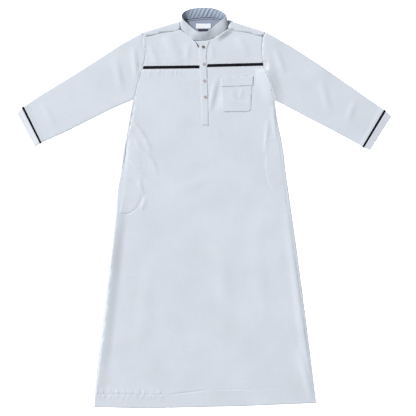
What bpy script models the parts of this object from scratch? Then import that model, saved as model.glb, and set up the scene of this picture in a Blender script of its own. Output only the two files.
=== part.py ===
"""A men's thobe robe with a stand collar, laid flat on its back with the sleeves spread.

The garment lies in the XY plane: the hem is toward -Y, the collar toward +Y, and the wearer's right
is toward -X. The back rests on z = 0. All sizes below are in millimetres, and the finished pieces
are scaled to metres. Each piece is cut as a flat slab in its own pattern coordinates, whose third
coordinate says how deep in the cloth a point lies, and is then carried to its place.
"""

import math
from typing import NamedTuple

import bmesh
import bpy
from mathutils import Vector

MM = 0.001

# Cloth and lay
WALL = 1.0
SEAM_GAP = 0.3
LAYER_GAP = 0.3
LAY_HEIGHT = 5.0
EDGE_ROLL = 2.35
HEM_DEPTH = 50.0
HEM_WALL = 2.2
FRONT_SLIT = 0.6

# Steps of the pattern grids
SHOULDER_STEPS = 5
NECK_STEPS = 6
ROLL_STEPS = 2
SLEEVE_STATIONS = 9
ARMHOLE_END, CUFF_START = 0.09, 0.955
CUFF_COLUMNS = 8

# Collar
COLLAR_BOW = 1.5
COLLAR_WALL = 1.2
COLLAR_ROWS = 4
PUCKER_COUNT = 9
PUCKER_DEPTH = 1.7
PUCKER_SLANT = 0.35

# Placket, buttons and tapes
TAPE_WIDTH = 11.0
CUFF_TAPE_WIDTH = 8.5
LIFT_HOLD, LIFT_FADE = 7.0, 18.0
BUTTON_DIAMETER = 10.5
BUTTON_THICKNESS = 2.4
BUTTON_RIM = 1.1

# Chest pocket
POCKET_LEFT, POCKET_RIGHT = 61.0, 179.5
POCKET_TOP, POCKET_BOTTOM = 479.0, 355.2
POCKET_BAND_DEPTH = 31.0
POCKET_RISE = 5.0
POCKET_ROUND = 13.0

# Side pockets
BAG_WALL = 2.0
BAG_SHOW = 0.9
WELT_WIDTH = 9.5
WELT_LEVELS = (8.0, 10.0)


class Side(NamedTuple):
    """One level of the body: its height on the cloth and where both side seams lie."""
    y: float
    left: float
    right: float


SIDES = (
    Side(-662, -403.3, 407.3),
    Side(-551, -392.2, 393.8),
    Side(-429, -377.4, 378.8),
    Side(-296, -362.6, 361.9),
    Side(-174, -347.8, 345.6),
    Side(-18, -329.3, 323.4),
    Side(81, -318.2, 309.3),
    Side(137, -307.1, 301.3),
    Side(196, -301.5, 294.6),
    Side(258, -289.0, 284.9),
    Side(303, -281.2, 275.2),
    Side(355, -272.5, 266.8),
)

HEM = (
    (-407, -735.6), (-274, -739.6), (-196, -740), (-15, -736.3), (133, -732.6), (318, -725.2), (414.4, -720.8),
)
CHEST_SEAM = ((-227, 519.5), (-17, 522.4), (12, 524.8), (59, 528.6), (133, 530.8), (219.5, 531.7))
ARMHOLE_LEFT = (
    (-227.2, 649.7), (-219.8, 632), (-216.5, 601.3), (-216.5, 566.1), (-222.4, 535), (-227, 519.5),
    (-230.5, 506.9), (-237.5, 478.4), (-248, 450.3), (-255.3, 415), (-263.4, 400.7),
)
ARMHOLE_RIGHT = (
    (227.6, 651.2), (218.3, 632.7), (214.3, 601), (214.8, 566), (219, 540.2), (219.5, 531.7),
    (223.5, 515), (234.6, 490.3), (244.2, 459.5), (253.5, 420), (262, 398.1),
)
YOKE_NOTCH, CHEST_NOTCH = 1, 5

# Shoulder line, forward seam and neck edge, each from the armhole to the neck
SHOULDER_LEFT = ((-227.2, 649.7), (-88.8, 691.9))
SHOULDER_RIGHT = ((227.6, 651.2), (88.8, 695.6))
FORWARD_LEFT = ((-219.8, 632), (-204.6, 634), (-150.2, 649), (-103.6, 654), (-88.8, 660))
FORWARD_RIGHT = ((218.3, 632.7), (204, 636), (162.8, 648), (133.2, 652), (103.6, 657), (88.8, 662))
NECK_LEFT = (
    (-88.8, 660), (-74, 650.5), (-59.2, 639.5), (-42.6, 622.5), (-38, 615.5), (-22.2, 595), (-4, 586),
)
NECK_RIGHT = ((88.8, 662), (74, 653.5), (55.5, 639), (33.3, 630.8), (18, 625.5), (4, 620))
BACK_NECK = (
    (-88.8, 691.9), (-76, 694.2), (-51.8, 699.8), (-22.2, 703.5), (7.4, 705.7), (37, 705), (62, 697.2),
    (76, 694.2), (88.8, 695.6),
)

PLACKET_LEFT = ((-7.4, 307.1), (-13, 444), (-15.6, 525.4), (-16.5, 585), (-17.6, 600.5), (-33.3, 618.2))
PLACKET_RIGHT = ((16.3, 305.3), (14.8, 418.1), (11.4, 500), (9.3, 560), (11.1, 590), (20.4, 618))
SLIT_END = 335.0
CENTRE_SEAM_Y = {-1.0: 523.5, 1.0: 524.1}
BUTTONS = ((-2.6, 595.7), (-0.4, 532.8), (2.2, 469.9), (4.1, 410.7))


class SleeveCut(NamedTuple):
    """A sleeve's outline: its upper fold, its underarm seam, and the cuff's outer edge."""
    armhole: tuple
    upper: tuple
    lower: tuple
    cuff: tuple
    side: float


SLEEVE_LEFT = SleeveCut(
    armhole=ARMHOLE_LEFT,
    upper=(
        (-227.2, 649.7), (-318.2, 599.4), (-384.8, 555), (-458.8, 506.9), (-532.8, 462.5), (-614.2, 412),
        (-670.4, 373),
    ),
    lower=((-263.4, 400.7), (-336.7, 370), (-425.5, 325.6), (-514.3, 281.2), (-604.2, 241.2)),
    cuff=((-692.4, 351.5), (-626.4, 227.6)),
    side=-1.0,
)
SLEEVE_RIGHT = SleeveCut(
    armhole=ARMHOLE_RIGHT,
    upper=(
        (227.6, 651.2), (296, 614.2), (355.2, 577.2), (429.2, 529.1), (503.2, 477.3), (577.2, 425.5),
        (669.3, 361),
    ),
    lower=((262, 398.1), (358.9, 347.8), (444, 303.4), (529.1, 259), (587.9, 225.4)),
    cuff=((692.3, 340.5), (612.4, 214.6)),
    side=1.0,
)


class Fold(NamedTuple):
    """A soft ridge from one point to another, with the reach of its left and right flank."""
    x0: float
    y0: float
    x1: float
    y1: float
    left: float
    right: float
    height: float


FOLDS = (
    # lower front: ridges over both side seams, hem corner
    Fold(-320, -12, -398, -706, 46, 7, 6.5),
    Fold(303, 20, 392, -600, 9, 32, 4.6),
    Fold(350, -520, 402, -712, 12, 24, 2.6),
    # lower front: fold beside the placket and its hollow
    Fold(52, 478, 21, 352, 10, 22, 5.0),
    # lower front: drag lines from the right armpit and the open pocket
    Fold(-258, 330, -195, 140, 12, 16, 2.4),
    Fold(-252, 268, -150, 105, 10, 18, 1.8),
    Fold(-262, 322, -228, 285, 8, 10, 1.8),
    Fold(-255, 150, -205, 60, 9, 12, 2.0),
    Fold(236, 330, 226, 190, 12, 12, 2.0),
    # left armhole: the seam stands up, with a hollow on the sleeve's side
    Fold(214, 552, 268, 384, 44, 48, 7.5),
    Fold(252, 385, 266, 250, 12, 10, 2.2),
    # front yokes
    Fold(-206, 604, -166, 528, 18, 20, 2.0),
    Fold(-146, 636, -84, 536, 34, 34, 3.2),
    Fold(-62, 616, -50, 536, 14, 18, 3.0),
    Fold(44, 630, 106, 634, 12, 6, 4.5),
    Fold(26, 606, 34, 548, 12, 16, 2.2),
    Fold(120, 634, 168, 560, 24, 24, 2.0),
    # sleeves
    Fold(-262, 600, -246, 470, 16, 20, 2.6),
    Fold(-330, 560, -300, 430, 18, 24, 2.2),
    Fold(-600, 385, -545, 300, 16, 22, 2.0),
    Fold(262, 590, 300, 500, 16, 20, 2.4),
    Fold(430, 480, 468, 350, 20, 24, 1.8),
    Fold(560, 400, 530, 320, 18, 18, 1.8),
)


class Gather(NamedTuple):
    """A row of small puckers held by a seam: where it runs, how long and how high they are."""
    x0: float
    y0: float
    x1: float
    y1: float
    count: int
    length: float
    height: float


GATHERS = (
    Gather(-202, 510, -88, 511, 6, 46, 1.9),
    Gather(-88, 526, -30, 526, 3, -34, 1.3),
    Gather(-385, -688, -150, -690, 12, 26, 1.2),
)


class Rest(NamedTuple):
    """A stretch of the front that lies flat, because a stitched piece covers it."""
    x0: float
    y0: float
    x1: float
    y1: float


class FineZone(NamedTuple):
    """A stretch of the lower front whose cells are cut again, and how often."""
    x0: float
    y0: float
    x1: float
    y1: float
    cuts: int


FINE_ZONES = (
    FineZone(-208, 462, -82, 520, 3),
    FineZone(12, 345, 62, 485, 1),
    FineZone(-400, -722, -150, -662, 1),
)

RESTS = (
    Rest(-240, 513, -14, 529),
    Rest(8, 517, 232, 540),
    Rest(-37, 298, 25, 627),
    Rest(50, 345, 190, 500),
)
REST_FADE = 9.0

BAG_LEFT = (
    (-276, 262), (-240, 252), (-226, 120), (-232, 40), (-240.5, 14.8), (-254.2, -5.6), (-273.8, -18.5),
    (-291.2, -24.1), (-314, -20.4),
)
BAG_RIGHT = (
    (278, 262), (236.8, 266.4), (227.9, 203.5), (225.3, 170.2), (226.8, 140.6), (236.1, 92.5),
    (247.2, 65.1), (271.6, 37.7), (293, 13.3), (310, 1),
)


class CollarStation(NamedTuple):
    """One place round the collar: its neck seam and top edge, the seam's height, and the top's above it."""
    seam_x: float
    seam_y: float
    top_x: float
    top_y: float
    rise: float
    stand: float


COLLAR = (
    CollarStation(-8, 618.6, -12, 646.2, 7.0, 20),
    CollarStation(11, 621.9, 13, 651.7, 7.0, 17),
    CollarStation(33.3, 630.3, 27.8, 662.0, 6.9, 13),
    CollarStation(55.2, 638.8, 39.5, 673.5, 6.8, 12),
    CollarStation(73.6, 653.2, 55.0, 686.5, 6.7, 15),
    CollarStation(86.4, 667.0, 70.5, 697.0, 6.2, 24),
    CollarStation(87.4, 684.0, 82.5, 707.0, 4.2, 33),
    CollarStation(77.0, 694.6, 77.2, 718.0, 1.7, 35),
    CollarStation(61.0, 697.9, 61.0, 728.3, 1.4, 30),
    CollarStation(37.0, 705.2, 38.0, 736.8, 1.4, 29),
    CollarStation(7.4, 705.9, 7.4, 740.0, 1.4, 26),
    CollarStation(-22.2, 703.7, -22.2, 739.6, 1.4, 24),
    CollarStation(-51.8, 700.0, -51.8, 735.0, 1.4, 25),
    CollarStation(-74.0, 694.9, -72.0, 726.0, 1.7, 29),
    CollarStation(-87.2, 685.0, -82.6, 713.5, 4.2, 31),
    CollarStation(-86.4, 666.8, -78.7, 698.0, 6.2, 28),
    CollarStation(-73.4, 650.4, -63.4, 683.0, 6.4, 24),
    CollarStation(-58.8, 639.3, -46.8, 668.5, 6.4, 20),
    CollarStation(-42.2, 626.0, -30.0, 655.5, 6.4, 18),
    CollarStation(-18.0, 622.4, -15.2, 648.3, 6.4, 17),
    CollarStation(3.0, 622.4, 3.0, 649.2, 6.4, 16),
)
COLLAR_STEPS_PLAIN = 3
COLLAR_STEPS_PUCKERED = 6
PUCKERED = (7, 13)

NECK_LABEL = ((-29.6, 663.5), (25.9, 682.0))
SIZE_TAB = ((-22, 655.0), (14.0, 661.6))

CLOTH = (0.66, 0.72, 0.79)
CUFF_CLOTH = (0.80, 0.84, 0.89)
TAPE = (0.012, 0.012, 0.014)
SHELL = (0.42, 0.33, 0.30)
WHITE = (0.85, 0.86, 0.88)


def smooth(value):
    """Eases a value from 0 to 1."""
    clamped = min(max(value, 0.0), 1.0)
    return clamped * clamped * (3.0 - 2.0 * clamped)


def along(points, share):
    """The point at a share of a polyline's length."""
    lengths = [math.dist(a, b) for a, b in zip(points, points[1:])]
    left = min(max(share, 0.0), 1.0) * sum(lengths)
    for start, end, length in zip(points, points[1:], lengths):
        if left <= length + 1e-9:
            return Vector(start).lerp(Vector(end), min(left / length, 1.0))
        left -= length
    return Vector(points[-1])


def by_index(points, place):
    """The point at a place counted in the polyline's own points."""
    low = min(max(int(math.floor(place)), 0), len(points) - 2)
    return Vector(points[low]).lerp(Vector(points[low + 1]), place - low)


def steps(start, end, count):
    """Even steps from start to end, both included."""
    return [start + (end - start) * k / count for k in range(count + 1)]


def joined(*runs):
    """Runs of steps end to end, with no place twice."""
    result = list(runs[0])
    for run in runs[1:]:
        result.extend(run[1:])
    return result


def patch(bottom, top, left, right, u, v):
    """A point of the surface that four edges span."""
    level = left(v).lerp(right(v), u)
    rise = bottom(u).lerp(top(u), v)
    low = left(0.0).lerp(right(0.0), u)
    high = left(1.0).lerp(right(1.0), u)
    return level + rise - low.lerp(high, v)


def ridge(fold, x, y):
    """Height of one fold at a point."""
    run = Vector((fold.x1 - fold.x0, fold.y1 - fold.y0))
    reach = Vector((x - fold.x0, y - fold.y0))
    share = reach.dot(run) / run.length_squared
    if not 0.0 < share < 1.0:
        return 0.0
    offset = (run.x * reach.y - run.y * reach.x) / run.length
    width = fold.left if offset > 0 else fold.right
    if abs(offset) >= width:
        return 0.0
    flank = math.cos(0.5 * math.pi * offset / width) ** 2
    return fold.height * flank * math.sin(math.pi * share) ** 0.6


def gathered(gather, x, y):
    """Height of a row of puckers at a point."""
    run = Vector((gather.x1 - gather.x0, gather.y1 - gather.y0))
    share = (Vector((x, y)) - Vector((gather.x0, gather.y0))).dot(run) / run.length_squared
    down = (gather.y0 + share * run.y - y) / gather.length
    if not (0.0 < share < 1.0 and 0.0 <= down < 1.0):
        return 0.0
    number = math.floor(share * gather.count)
    wave = 0.5 - 0.5 * math.cos(2.0 * math.pi * share * gather.count)
    reach = 0.62 + 0.38 * math.sin(2.3 * number + 1.0) ** 2
    fade = smooth(1.0 - down / reach) * smooth(down * 8.0 + 0.2)
    return gather.height * wave * fade


def calm(x, y):
    """How free the cloth is at a point, from 0 under a stitched piece to 1."""
    free = 1.0
    for rest in RESTS:
        out_x = max(rest.x0 - x, x - rest.x1, 0.0)
        out_y = max(rest.y0 - y, y - rest.y1, 0.0)
        free = min(free, smooth(math.hypot(out_x, out_y) / REST_FADE))
    return free


def inside(outline, x, y):
    """Signed distance of a point into a closed outline, positive inside."""
    nearest = math.inf
    within = False
    for (ax, ay), (bx, by) in zip(outline, outline[1:] + outline[:1]):
        if (ay > y) != (by > y) and x < ax + (y - ay) * (bx - ax) / (by - ay):
            within = not within
        edge = Vector((bx - ax, by - ay))
        share = min(max(Vector((x - ax, y - ay)).dot(edge) / edge.length_squared, 0.0), 1.0)
        nearest = min(nearest, math.hypot(x - ax - share * edge.x, y - ay - share * edge.y))
    return nearest if within else -nearest


def relief(x, y):
    """How far the upper layer stands above its flat lay at a point."""
    height = sum(ridge(fold, x, y) for fold in FOLDS)
    height += sum(gathered(gather, x, y) for gather in GATHERS)
    bag = max(inside(BAG_LEFT, x, y), inside(BAG_RIGHT, x, y))
    return (height + BAG_SHOW * smooth(bag / 7.0)) * calm(x, y)


def material(name, colour, roughness):
    """A plain finish of one colour."""
    finish = bpy.data.materials.new(name)
    finish.use_nodes = True
    shader = finish.node_tree.nodes["Principled BSDF"]
    shader.inputs["Base Color"].default_value = (*colour, 1.0)
    shader.inputs["Roughness"].default_value = roughness
    return finish


def finish_object(name, bm, colour, roughness=0.75):
    """Makes a bmesh in millimetres an object in metres, with its faces pointing out."""
    bmesh.ops.recalc_face_normals(bm, faces=bm.faces)
    if bm.calc_volume(signed=True) < 0:
        bmesh.ops.reverse_faces(bm, faces=bm.faces)
    bmesh.ops.scale(bm, vec=(MM, MM, MM), verts=bm.verts)
    mesh = bpy.data.meshes.new(name)
    bm.to_mesh(mesh)
    bm.free()
    mesh.shade_smooth()
    mesh.set_sharp_from_angle(angle=math.radians(45))
    mesh.materials.append(material(name, colour, roughness))
    item = bpy.data.objects.new(name, mesh)
    bpy.context.scene.collection.objects.link(item)
    return item


def cloth_piece(name, columns, rows, place, colour, keep=None, finer=None, slit=None):
    """A piece of cloth, cut as a slab of one unit depth in pattern coordinates and carried to its place.

    columns and rows are the pattern places of the grid lines, place carries (u, v, depth) to the
    garment, keep says which cells belong to the piece, and finer how many cuts a cell gets.
    """
    bm = bmesh.new()
    bmesh.ops.create_grid(bm, x_segments=len(columns) - 1, y_segments=len(rows) - 1, size=1.0)
    for vert in bm.verts:
        column = round((vert.co.x + 1.0) * 0.5 * (len(columns) - 1))
        row = round((vert.co.y + 1.0) * 0.5 * (len(rows) - 1))
        vert.co = (columns[column], rows[row], 0.0)
    if keep:
        dropped = [face for face in bm.faces if not keep(*face.calc_center_median().xy)]
        bmesh.ops.delete(bm, geom=dropped, context="FACES")
    if finer:
        wanted = {}
        for face in bm.faces:
            centre = face.calc_center_median()
            wanted.setdefault(finer(place(centre.x, centre.y, 0.0)), []).append(face)
        for cuts, faces in sorted(wanted.items()):
            if cuts:
                edges = list({edge for face in faces for edge in face.edges})
                bmesh.ops.subdivide_edges(bm, edges=edges, cuts=cuts, use_grid_fill=True)
    if slit:
        cut = [edge for edge in bm.edges if all(slit(*vert.co.xy) for vert in edge.verts)]
        bmesh.ops.split_edges(bm, edges=cut)
        for vert in bm.verts:
            if slit(*vert.co.xy) and vert.is_boundary and vert.link_faces:
                side = sum(face.calc_center_median().x for face in vert.link_faces) / len(vert.link_faces)
                vert.co.x += math.copysign(SLIT_SHIFT, side - vert.co.x)
    slab = bmesh.ops.extrude_face_region(bm, geom=bm.faces[:])
    lifted = [item for item in slab["geom"] if isinstance(item, bmesh.types.BMVert)]
    bmesh.ops.translate(bm, vec=(0.0, 0.0, 1.0), verts=lifted)
    for vert in bm.verts:
        vert.co = place(*vert.co)
    return finish_object(name, bm, colour)


def flat_piece(name, outline, bottom, thickness, colour):
    """A flat piece of cloth cut to an outline and laid at a height."""
    bm = bmesh.new()
    face = bm.faces.new([bm.verts.new((x, y, bottom)) for x, y in outline])
    risen = bmesh.ops.extrude_face_region(bm, geom=[face])
    tops = [item for item in risen["geom"] if isinstance(item, bmesh.types.BMVert)]
    bmesh.ops.translate(bm, vec=(0.0, 0.0, thickness), verts=tops)
    return finish_object(name, bm, colour)


def box_outline(corners):
    """The four corners of an upright rectangle."""
    (x0, y0), (x1, y1) = corners
    return [(x0, y0), (x1, y0), (x1, y1), (x0, y1)]


def side_line(armhole, edge):
    """One side of the body from the hem up to the chest seam, with a point at each level."""
    hem = HEM[0] if edge == "left" else HEM[-1]
    levels = [(getattr(side, edge), side.y) for side in SIDES]
    arm = [tuple(by_index(armhole, k)) for k in range(len(armhole) - 1, CHEST_NOTCH - 1, -1)]
    return [hem, *levels, *arm]


LEFT_LINE = side_line(ARMHOLE_LEFT, "left")
RIGHT_LINE = side_line(ARMHOLE_RIGHT, "right")
LEVELS = len(LEFT_LINE) - 1
ARMPIT = len(SIDES) + 1
ARM_LEVELS = LEVELS - ARMPIT
SLIT_SHIFT = FRONT_SLIT / 2 / 550.0
HEM_TURN = HEM_DEPTH / (SIDES[0].y - HEM[0][1])
PLACKET_START, SLIT_AT, PLACKET_END = 0.465, 0.5, 0.545
POCKET_START, POCKET_END = 0.615, 0.86
RIDGE_COLUMN = 0.012


def skirt_rows(parts):
    """The levels from the hem to the armpit, with the hem's turn and each stretch cut in parts."""
    return joined([0.0, HEM_TURN, HEM_TURN + 0.03, 1.0], steps(1.0, ARMPIT, parts * (ARMPIT - 1)))


def roll_inset(level):
    """How far inside the side line the cloth begins to turn, at a level of the body."""
    return EDGE_ROLL - 0.95 * smooth(level - ARMPIT + 1.0)


def body_plan(u, level, top):
    """Where a pattern place of a body panel lies on the plane, inside its rolled sides."""
    share = min(max(u, 0.0), 1.0)
    inset = roll_inset(level) if level <= ARMPIT else 0.0

    def left(v):
        return by_index(LEFT_LINE, v * LEVELS)

    def right(v):
        return by_index(RIGHT_LINE, v * LEVELS)

    point = patch(lambda at: along(HEM, at), top, left, right, share, level / LEVELS)
    point.x += inset * (1.0 - 2.0 * share)
    return point


def roll_offset(u, level, wall):
    """Outward and vertical offset of a place in the rolled side, from the start of the turn."""
    turn = -u if u < 0 else u - 1.0
    radius_x = roll_inset(level)
    angle = 0.5 * math.pi * min(turn, 1.0)
    reach = radius_x - wall * min(1.0, (radius_x - 0.3) / WALL)
    return reach * math.sin(angle), (EDGE_ROLL - wall) * (1.0 - math.cos(angle))


def welt_inset(level, u):
    """How far the front's edge draws back from the side at the open side pocket."""
    low, high = WELT_LEVELS
    if u > 0.5 or not low < level < high:
        return 0.0
    before = math.floor(2.0 * level) / 2.0
    depths = [WELT_WIDTH * math.sin(math.pi * (at - low) / (high - low)) for at in (before, before + 0.5)]
    return depths[0] + (depths[1] - depths[0]) * 2.0 * (level - before)


def hem_wall(u, level):
    """Thickness of a body panel, doubled where the hem is turned up."""
    turned = level <= HEM_TURN + 1e-6 and 0.02 < u < 0.98
    return HEM_WALL if turned else WALL


def chest(at):
    """The chest seam at a share of its width."""
    return along(CHEST_SEAM, at)


def place_front(u, level, depth):
    """Carries a pattern place of the lower front to the garment."""
    point = body_plan(u, level, chest)
    drawn = welt_inset(level, u)
    point.x += drawn * (1.0 - min(max(u, 0.0), 1.0))
    wall = hem_wall(u, level) * depth
    height = LAY_HEIGHT + relief(point.x, point.y)
    if u < 0.0 or u > 1.0:
        out, drop = roll_offset(u, level, WALL * depth)
        height = LAY_HEIGHT - drop + relief(point.x, point.y) * (1.0 - smooth(max(-u, u - 1.0)))
        point.x += math.copysign(out, u - 0.5)
    if level >= LEVELS - 1e-6:
        point.y -= SEAM_GAP / 2
    return Vector((point.x, point.y, height - wall))


def rolled_columns(columns):
    """Columns of a body panel with the turns of both rolled sides added."""
    turn = steps(0.0, 1.0, ROLL_STEPS)
    return joined([-t for t in reversed(turn)], columns, [1.0 + t for t in turn])


def keep_rolls(u, level):
    """The rolled sides run from the hem to the armpits only."""
    return 0.0 < u < 1.0 or level < ARMPIT


def front_finer(point):
    """Extra cuts where the lower front is gathered or folded tightly."""
    for zone in FINE_ZONES:
        if zone.x0 < point.x < zone.x1 and zone.y0 < point.y < zone.y1:
            return zone.cuts
    return 0


def lower_front():
    """The lower front, slit under the placket."""
    columns = joined([0.0, RIDGE_COLUMN], steps(RIDGE_COLUMN, PLACKET_START, 10), [PLACKET_START, SLIT_AT],
                     [SLIT_AT, PLACKET_END], steps(PLACKET_END, POCKET_START, 2),
                     steps(POCKET_START, POCKET_END, 4), steps(POCKET_END, 1.0 - RIDGE_COLUMN, 4),
                     [1.0 - RIDGE_COLUMN, 1.0])
    rows = joined(skirt_rows(2), steps(ARMPIT, LEVELS, ARM_LEVELS))

    def on_slit(u, level):
        return abs(u - SLIT_AT) < 1e-4 and place_front(u, level, 0.0).y > SLIT_END

    return cloth_piece("front_lower", rolled_columns(columns), rows, place_front, CLOTH, keep=keep_rolls,
                       finer=front_finer, slit=on_slit)


def strip_direction(shoulder, forward, share):
    """From the shoulder line toward the forward seam."""
    return (along(forward, share) - along(shoulder, share)).normalized()


def back_top(u):
    """The back's upper edge on the floor: both shoulders and the neck between them."""
    if u <= NECK_START + 1e-4:
        share = u / NECK_START
        return along(SHOULDER_LEFT, share) + EDGE_ROLL * strip_direction(SHOULDER_LEFT, FORWARD_LEFT, share)
    if u >= NECK_END - 1e-4:
        share = (1.0 - u) / (1.0 - NECK_END)
        return along(SHOULDER_RIGHT, share) + EDGE_ROLL * strip_direction(SHOULDER_RIGHT, FORWARD_RIGHT, share)
    return along(BACK_NECK, (u - NECK_START) / (NECK_END - NECK_START)) - Vector((0.0, 0.4))


NECK_START, NECK_END = 0.34, 0.66
BACK_ARM_LEVELS = len(ARMHOLE_LEFT) - 1
BACK_LEVELS = ARMPIT + BACK_ARM_LEVELS
BACK_LEFT_LINE = [*LEFT_LINE[:ARMPIT], *reversed(ARMHOLE_LEFT)]
BACK_RIGHT_LINE = [*RIGHT_LINE[:ARMPIT], *reversed(ARMHOLE_RIGHT)]


def back_plan(u, level):
    """Where a pattern place of the back lies on the plane."""
    share = min(max(u, 0.0), 1.0)
    inset = roll_inset(level) if level <= ARMPIT else 0.0

    def left(v):
        return by_index(BACK_LEFT_LINE, v * BACK_LEVELS) if v < 1.0 else back_top(0.0)

    def right(v):
        return by_index(BACK_RIGHT_LINE, v * BACK_LEVELS) if v < 1.0 else back_top(1.0)

    point = patch(lambda at: along(HEM, at), back_top, left, right, share, min(level / BACK_LEVELS, 1.0))
    point.x += inset * (1.0 - 2.0 * share)
    return point


def place_strip(u, turn, depth):
    """Carries a place of the back that goes over a shoulder: 0 to 1 is the turn, 1 to 2 the strip."""
    if u < 0.5:
        shoulder, forward, share = SHOULDER_LEFT, FORWARD_LEFT, u / NECK_START
    else:
        shoulder, forward, share = SHOULDER_RIGHT, FORWARD_RIGHT, (1.0 - u) / (1.0 - NECK_END)
    line = along(shoulder, share)
    direction = strip_direction(shoulder, forward, share)
    if turn <= 1.0:
        angle = math.pi * turn
        half = LAY_HEIGHT / 2
        plan = line + direction * (EDGE_ROLL - (EDGE_ROLL - WALL * depth) * math.sin(angle))
        return Vector((plan.x, plan.y, half - (half - WALL * depth) * math.cos(angle)))
    start = line + direction * EDGE_ROLL
    plan = start.lerp(along(forward, share) + Vector((0.0, SEAM_GAP / 2)), turn - 1.0)
    return Vector((plan.x, plan.y, LAY_HEIGHT - WALL * depth))


def place_back(u, level, depth):
    """Carries a pattern place of the back to the garment."""
    if level > BACK_LEVELS:
        return place_strip(u, level - BACK_LEVELS, depth)
    point = back_plan(u, level)
    height = hem_wall(u, level) * depth
    if u < 0.0 or u > 1.0:
        out, climb = roll_offset(u, level, WALL * depth)
        point.x += math.copysign(out, u - 0.5)
        height = climb + WALL * depth
    return Vector((point.x, point.y, height))


def back():
    """The back, flat on the surface, rolled up at the sides and over both shoulders."""
    columns = joined(steps(0.0, NECK_START, SHOULDER_STEPS), steps(NECK_START, NECK_END, NECK_STEPS),
                     steps(NECK_END, 1.0, SHOULDER_STEPS))
    turn = steps(BACK_LEVELS, BACK_LEVELS + 1.0, 2 * ROLL_STEPS)
    rows = joined(skirt_rows(1), steps(ARMPIT, BACK_LEVELS, BACK_ARM_LEVELS), turn,
                  steps(BACK_LEVELS + 1.0, BACK_LEVELS + 2.0, 1))

    def keep(u, level):
        if level > BACK_LEVELS:
            return 0.0 < u < NECK_START or NECK_END < u < 1.0
        return keep_rolls(u, level)

    return cloth_piece("back", rolled_columns(columns), rows, place_back, CLOTH, keep=keep)


def front_upper(name, armhole, forward, neck, centre_x, side):
    """A front yoke, from the chest seam to the forward shoulder seam and the neck."""
    seam_share = 0.52
    columns = joined(steps(0.0, seam_share, SHOULDER_STEPS), steps(seam_share, 1.0, 2 * (len(neck) - 1)))
    centre_seam = (centre_x, CENTRE_SEAM_Y[side])
    chest_line = [*[point for point in CHEST_SEAM[::-int(side)] if point[0] * side > 10], centre_seam]

    def arm(v):
        return by_index(armhole, CHEST_NOTCH - v * (CHEST_NOTCH - YOKE_NOTCH))

    def top(at):
        if at <= seam_share:
            return along(forward, at / seam_share)
        return by_index(neck, (at - seam_share) / (1.0 - seam_share) * (len(neck) - 1))

    def centre(v):
        return Vector(centre_seam).lerp(Vector(neck[-1]), v)

    def place(u, v, depth):
        point = patch(lambda at: along(chest_line, at), top, arm, centre, u, v)
        point.y += SEAM_GAP / 2 * (1.0 - 2.0 * v)
        return Vector((point.x, point.y, LAY_HEIGHT + relief(point.x, point.y) - WALL * depth))

    return cloth_piece(name, columns, steps(0.0, 1.0, 2 * (CHEST_NOTCH - YOKE_NOTCH)), place, CLOTH)


def tube_section(place, width, wall, tall=LAY_HEIGHT):
    """A flattened tube's section: a place across its width, and a height.

    place runs from 0 at the underarm seam along the lower layer to the upper fold, and back along
    the upper layer to the seam at 5.
    """
    turn = (tall - SEAM_GAP) / 2
    roll = turn - wall
    if place <= 1.0:
        angle = 0.5 * math.pi * (1.0 - place)
        return width - turn + roll * math.sin(angle), turn - roll * math.cos(angle)
    if place <= 2.0:
        return width - turn - (width - 2.0 * turn) * (place - 1.0), wall
    if place <= 3.0:
        angle = math.pi * (place - 2.0)
        return turn - roll * math.sin(angle), tall / 2 - (tall / 2 - wall) * math.cos(angle)
    if place <= 4.0:
        return turn + (width - 2.0 * turn) * (place - 3.0), tall - wall
    angle = 0.5 * math.pi * (place - 4.0)
    return width - turn + roll * math.sin(angle), tall - turn + roll * math.cos(angle)


def tube_columns(shares):
    """Places round a flattened tube, whose layers are cut at the given shares of the width."""
    roll = [k / ROLL_STEPS for k in range(ROLL_STEPS + 1)]
    lower = [2.0 - share for share in reversed(shares)]
    upper = [3.0 + share for share in shares]
    fold = [2.0 + k / (2 * ROLL_STEPS) for k in range(2 * ROLL_STEPS + 1)]
    return joined(roll, lower, fold, upper, [4.0 + at for at in roll])


def armhole_shares(armhole):
    """The shares of the armhole's length at its notches."""
    lengths = [math.dist(a, b) for a, b in zip(armhole, armhole[1:])]
    shares = [sum(lengths[:k]) / sum(lengths) for k in range(len(lengths) + 1)]
    shares[-1] = 1.0
    return shares


def lifted(distance):
    """How far the cuff tape under it lifts the sleeve, at a distance from the cuff seam."""
    return (WALL + LAYER_GAP) * (1.0 - smooth((abs(distance) - LIFT_HOLD) / LIFT_FADE))


def sleeve(name, cut):
    """A sleeve, one cut piece folded at its upper edge and sewn along the underarm."""
    shares = armhole_shares(cut.armhole)
    length = math.dist(cut.upper[0], cut.upper[-1])

    def cuff_seam(v):
        return Vector(cut.upper[-1]).lerp(Vector(cut.lower[-1]), v)

    def place(column, station, depth):
        near = along(cut.upper, station)
        far = along(cut.lower, station)
        across, height = tube_section(column, (far - near).length, WALL * depth)
        share = across / (far - near).length
        point = patch(lambda at: along(cut.upper, at), lambda at: along(cut.lower, at),
                      lambda v: along(cut.armhole, v), cuff_seam, station, share)
        if station <= 0.0:
            point.x += cut.side * (SEAM_GAP + 0.05)
        if column >= 3.0:
            fade = smooth((5.0 - column) * 1.2) if column > 4.0 else 1.0
            height += relief(point.x, point.y) * fade
        return Vector((point.x, point.y, height + lifted(length * (1.0 - station))))

    stations = joined(steps(0.0, ARMHOLE_END, 3), steps(ARMHOLE_END, CUFF_START, SLEEVE_STATIONS),
                      steps(CUFF_START, 1.0, 3))
    return cloth_piece(name, tube_columns(shares), stations, place, CLOTH)


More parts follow.
